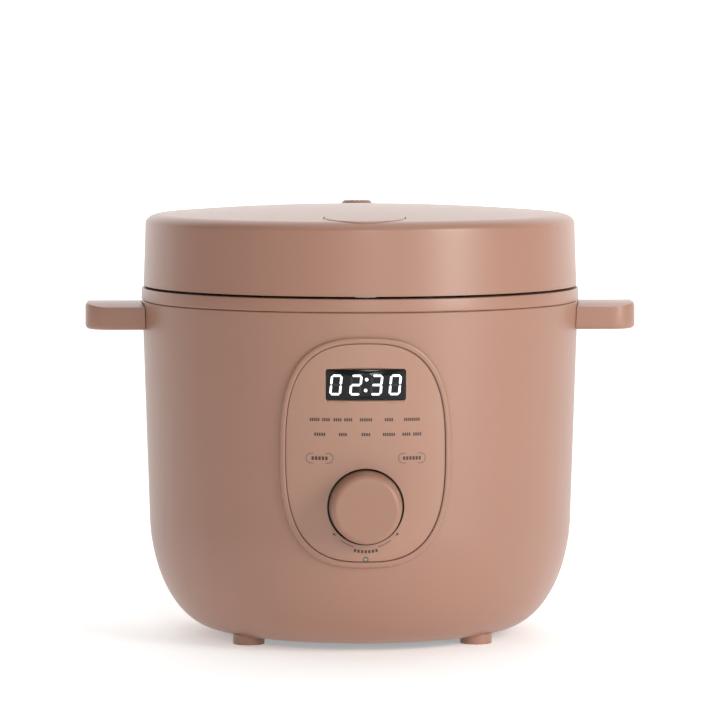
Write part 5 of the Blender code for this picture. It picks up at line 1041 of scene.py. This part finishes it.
# %% Base cover
cover_line = [(0.0, COVER_TOP), (COVER_R, COVER_TOP), (COVER_R, GROUND + 0.4), (COVER_R - 0.4, GROUND),
              (0.0, GROUND)]
base_spots = ring_spots(BASE_SCREW_RING, (0, 90, 180, 270))
steps = [("+", bar("post", 3, (x, y, COVER_TOP - 1), (x, y, 9.2), 24)) for x in (-44, -20) for y in (-18, 18)]
for i in range(8):
    slot = prism("vent", rounded(14.0, 3.0, 1.49, (29.0, 0.0)), 0, 10, "z")
    slot.transform(Matrix.Rotation(math.radians((i + 0.5) * 45), 4, "Z"))
    steps.append(("-", slot))
for x, y in base_spots:
    steps += [("-", bar("hole", 1.8, (x, y, 3), (x, y, 7), 16)),
              ("-", bar("seat", 3.5, (x, y, 3), (x, y, 5.0), 24))]
place("base_cover_fine", shaped(turned("cover", cover_line, 160, False), *steps), "root", black_pbt,
      SLOT_OF["base_cover"], ["base_cover"])
print("the base cover is", 2 * COVER_R, "mm across")

# %% Screws
repeat, given, result = new_tree("a_screw_on_every_point", [("Screw", "NodeSocketObject"),
                                                           ("Material", "NodeSocketMaterial")])
model = add_node(repeat, "GeometryNodeObjectInfo", links={"Object": given.outputs["Screw"]})
copies = add_node(repeat, "GeometryNodeInstanceOnPoints",
                  links={"Points": given.outputs["Geometry"], "Instance": model.outputs["Geometry"]})
finish_tree(repeat, given, result, copies.outputs["Instances"])


def screws(name, spots, low, high, head_r, shank_r, body, nodes):
    """Pan-head screws with a cross recess, heads down, set on every spot."""
    head = [(0.0, low), (head_r * 0.7, low), (head_r * 0.93, low + 0.25), (head_r, low + 0.6),
            (head_r, low + 1.1), (shank_r, low + 1.1), (shank_r, high - 1.0), (0.3, high), (0.0, high)]
    wide, thin = head_r * 0.62, 0.42
    one = shaped(turned("screw", head, 40, False),
                 ("-", block("cross", (-wide, -thin, low - 1), (wide, thin, low + 0.7))),
                 ("-", block("cross", (-thin, -wide, low - 1), (thin, wide, low + 0.7))))
    maker = bpy.data.objects.new("screw", one)
    bpy.context.scene.collection.objects.link(maker)
    points = bpy.data.meshes.new(name)
    points.from_pydata([(x * MM, y * MM, 0) for x, y in spots], [], [])
    mesh = run_tree(repeat, points, Screw=maker)
    bpy.data.objects.remove(maker, do_unlink=True)
    place(name, mesh, body, stainless, "steel", nodes)


for name, spots, node, head_r, shank_r, body in (("base_screws", base_spots, "base_screw", 3.2, 1.5, "root"),
                                                 ("lid_screws", screw_spots, "lid_screw", 2.7, 1.4, "lid")):
    low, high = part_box(node + "_1")
    screws(name, spots, low[2] * 1000, high[2] * 1000, head_r, shank_r, body,
           [f"{node}_{i}" for i in (1, 2, 3, 4)])
    print(len(spots), name, "on the", body)

# %% [markdown]
# ## The small parts
#
# Parts whose CAD shape is already right get a merged copy, shaded smooth, and most of them have their sharp
# edges broken by a small bevel, because a moulded or pressed edge is never a perfect corner and catches a
# line of light.

# %% Merged and bevelled copies


def softened(node, body, bevel=0.25):
    """A merged copy of a CAD node in the same finish, its edges broken when a bevel width in mm is given."""
    mesh = clean(frame["nodes"][node].data.copy(), 0.002 * MM)
    shape = bmesh.new()
    shape.from_mesh(mesh)
    bmesh.ops.dissolve_limit(shape, angle_limit=math.radians(0.5), verts=shape.verts, edges=shape.edges)
    shape.to_mesh(mesh)
    shape.free()
    return place(node + "_fine", mesh, body, BY_SLOT[SLOT_OF[node]], SLOT_OF[node], [node], bevel)


for node in ("foot_front_left", "foot_front_right", "foot_rear_left", "foot_rear_right", "power_inlet",
             "heating_plate", "latch_catch", "hinge_pin"):
    softened(node, "root")
for node, body in (("inner_lid_clip", "lid"), ("lid_latch", "latch"), ("thermostat_sensor", "thermostat")):
    softened(node, body)
for node, body in (("hinge_spring", "root"), ("indicator_light_pipe", "root"), ("vent_body", "lid")):
    softened(node, body, 0.0)
print("the small parts are placed")

# %% Springs
# A spring shortens as its part is pressed, flattening towards the end that stays where it is; here each
# spring is a merged copy with a mesh of its own, and nothing makes it shorten.
for node, body, joint, stroke in (("button_spring", "lid", "button_press", 2.5),
                                  ("thermostat_spring", "root", "thermostat_press", 1.5)):
    low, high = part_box(node)
    coil = softened(node, body, 0.0)
    length = (high[2] - low[2]) * 1000
    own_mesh(coil)
    print(node, "is", round(length, 1), "mm long and shortens by", stroke, "mm")

# %% [markdown]
# ## Floor, light and camera
#
# The cooker stands on a plain white floor in soft studio light.  A large soft box on the right lights
# that side and leaves the left darker, a narrow one near the camera gives the long highlight on the lid
# and body, and the white backdrop keeps the edges light.  The camera is far away with a long lens, just
# above the lid, so the drum's verticals stay almost parallel.

# %% Floor and backdrop
# Both are white and glow a little, as a lit product table and a lit backdrop do, so that they stay white
# while the lamps are set for the cooker.
paper = finish("matt_white_paper_sweep", "#f4f4f3", "#f1f1f0", (0.7, 0.8), 2.0, 0.002,
               Emission_Color=linear("#ffffff"), Emission_Strength=0.34)
lit_wall = finish("evenly_lit_white_backdrop", "#f4f4f3", "#f1f1f0", (0.7, 0.8), 2.0, 0.002,
                  Emission_Color=linear("#ffffff"), Emission_Strength=1.0)
for name, corners, material in (("floor", [(-6, -6, 0), (6, -6, 0), (6, 6, 0), (-6, 6, 0)], paper),
                                ("backdrop", [(-6, 3, 0), (6, 3, 0), (6, 3, 5), (-6, 3, 5)], lit_wall)):
    sheet = bpy.data.meshes.new(name)
    sheet.from_pydata(corners, [], [(0, 1, 2, 3)])
    sheet.materials.append(material)
    stand = bpy.data.objects.new(name, sheet)
    bpy.context.scene.collection.objects.link(stand)
print("the floor and the backdrop are staged")

# %% Lights
world = bpy.data.worlds.new("white_studio")
world.use_nodes = True
world.node_tree.nodes["Background"].inputs["Color"].default_value = linear("#ffffff")
world.node_tree.nodes["Background"].inputs["Strength"].default_value = 0.27
bpy.context.scene.world = world


def soft_box(name, place_at, aim, width, height, power):
    """An area light that faces a point."""
    lamp = bpy.data.lights.new(name, "AREA")
    lamp.shape, lamp.size, lamp.size_y, lamp.energy = "RECTANGLE", width, height, power
    made = bpy.data.objects.new(name, lamp)
    bpy.context.scene.collection.objects.link(made)
    made.location = place_at
    made.rotation_euler = (Vector(aim) - Vector(place_at)).to_track_quat("-Z", "Y").to_euler()


soft_box("key_from_the_right", (1.5, -1.35, 0.75), (0, 0, 0.1), 0.7, 1.2, 28)
soft_box("front_strip", (0.18, -2.6, 1.0), (0, 0, 0.1), 0.3, 1.2, 14)
soft_box("top", (0.0, 0.2, 1.9), (0, 0, 0.0), 1.6, 1.6, 7.5)
bpy.context.scene.view_settings.view_transform = "Standard"
print("three lamps light the cooker")

# %% Camera
lens = bpy.data.cameras.new("long_lens")
lens.lens, lens.sensor_width = 220, 36
camera = bpy.data.objects.new("camera", lens)
bpy.context.scene.collection.objects.link(camera)
camera.location = (-0.0576, -2.199, 0.300)
camera.rotation_euler = (Vector((0.0, 0.0, 0.1365)) - camera.location).to_track_quat("-Z", "Y").to_euler()
bpy.context.scene.camera = camera
print("the camera stands", round(camera.location.length, 2), "m away")
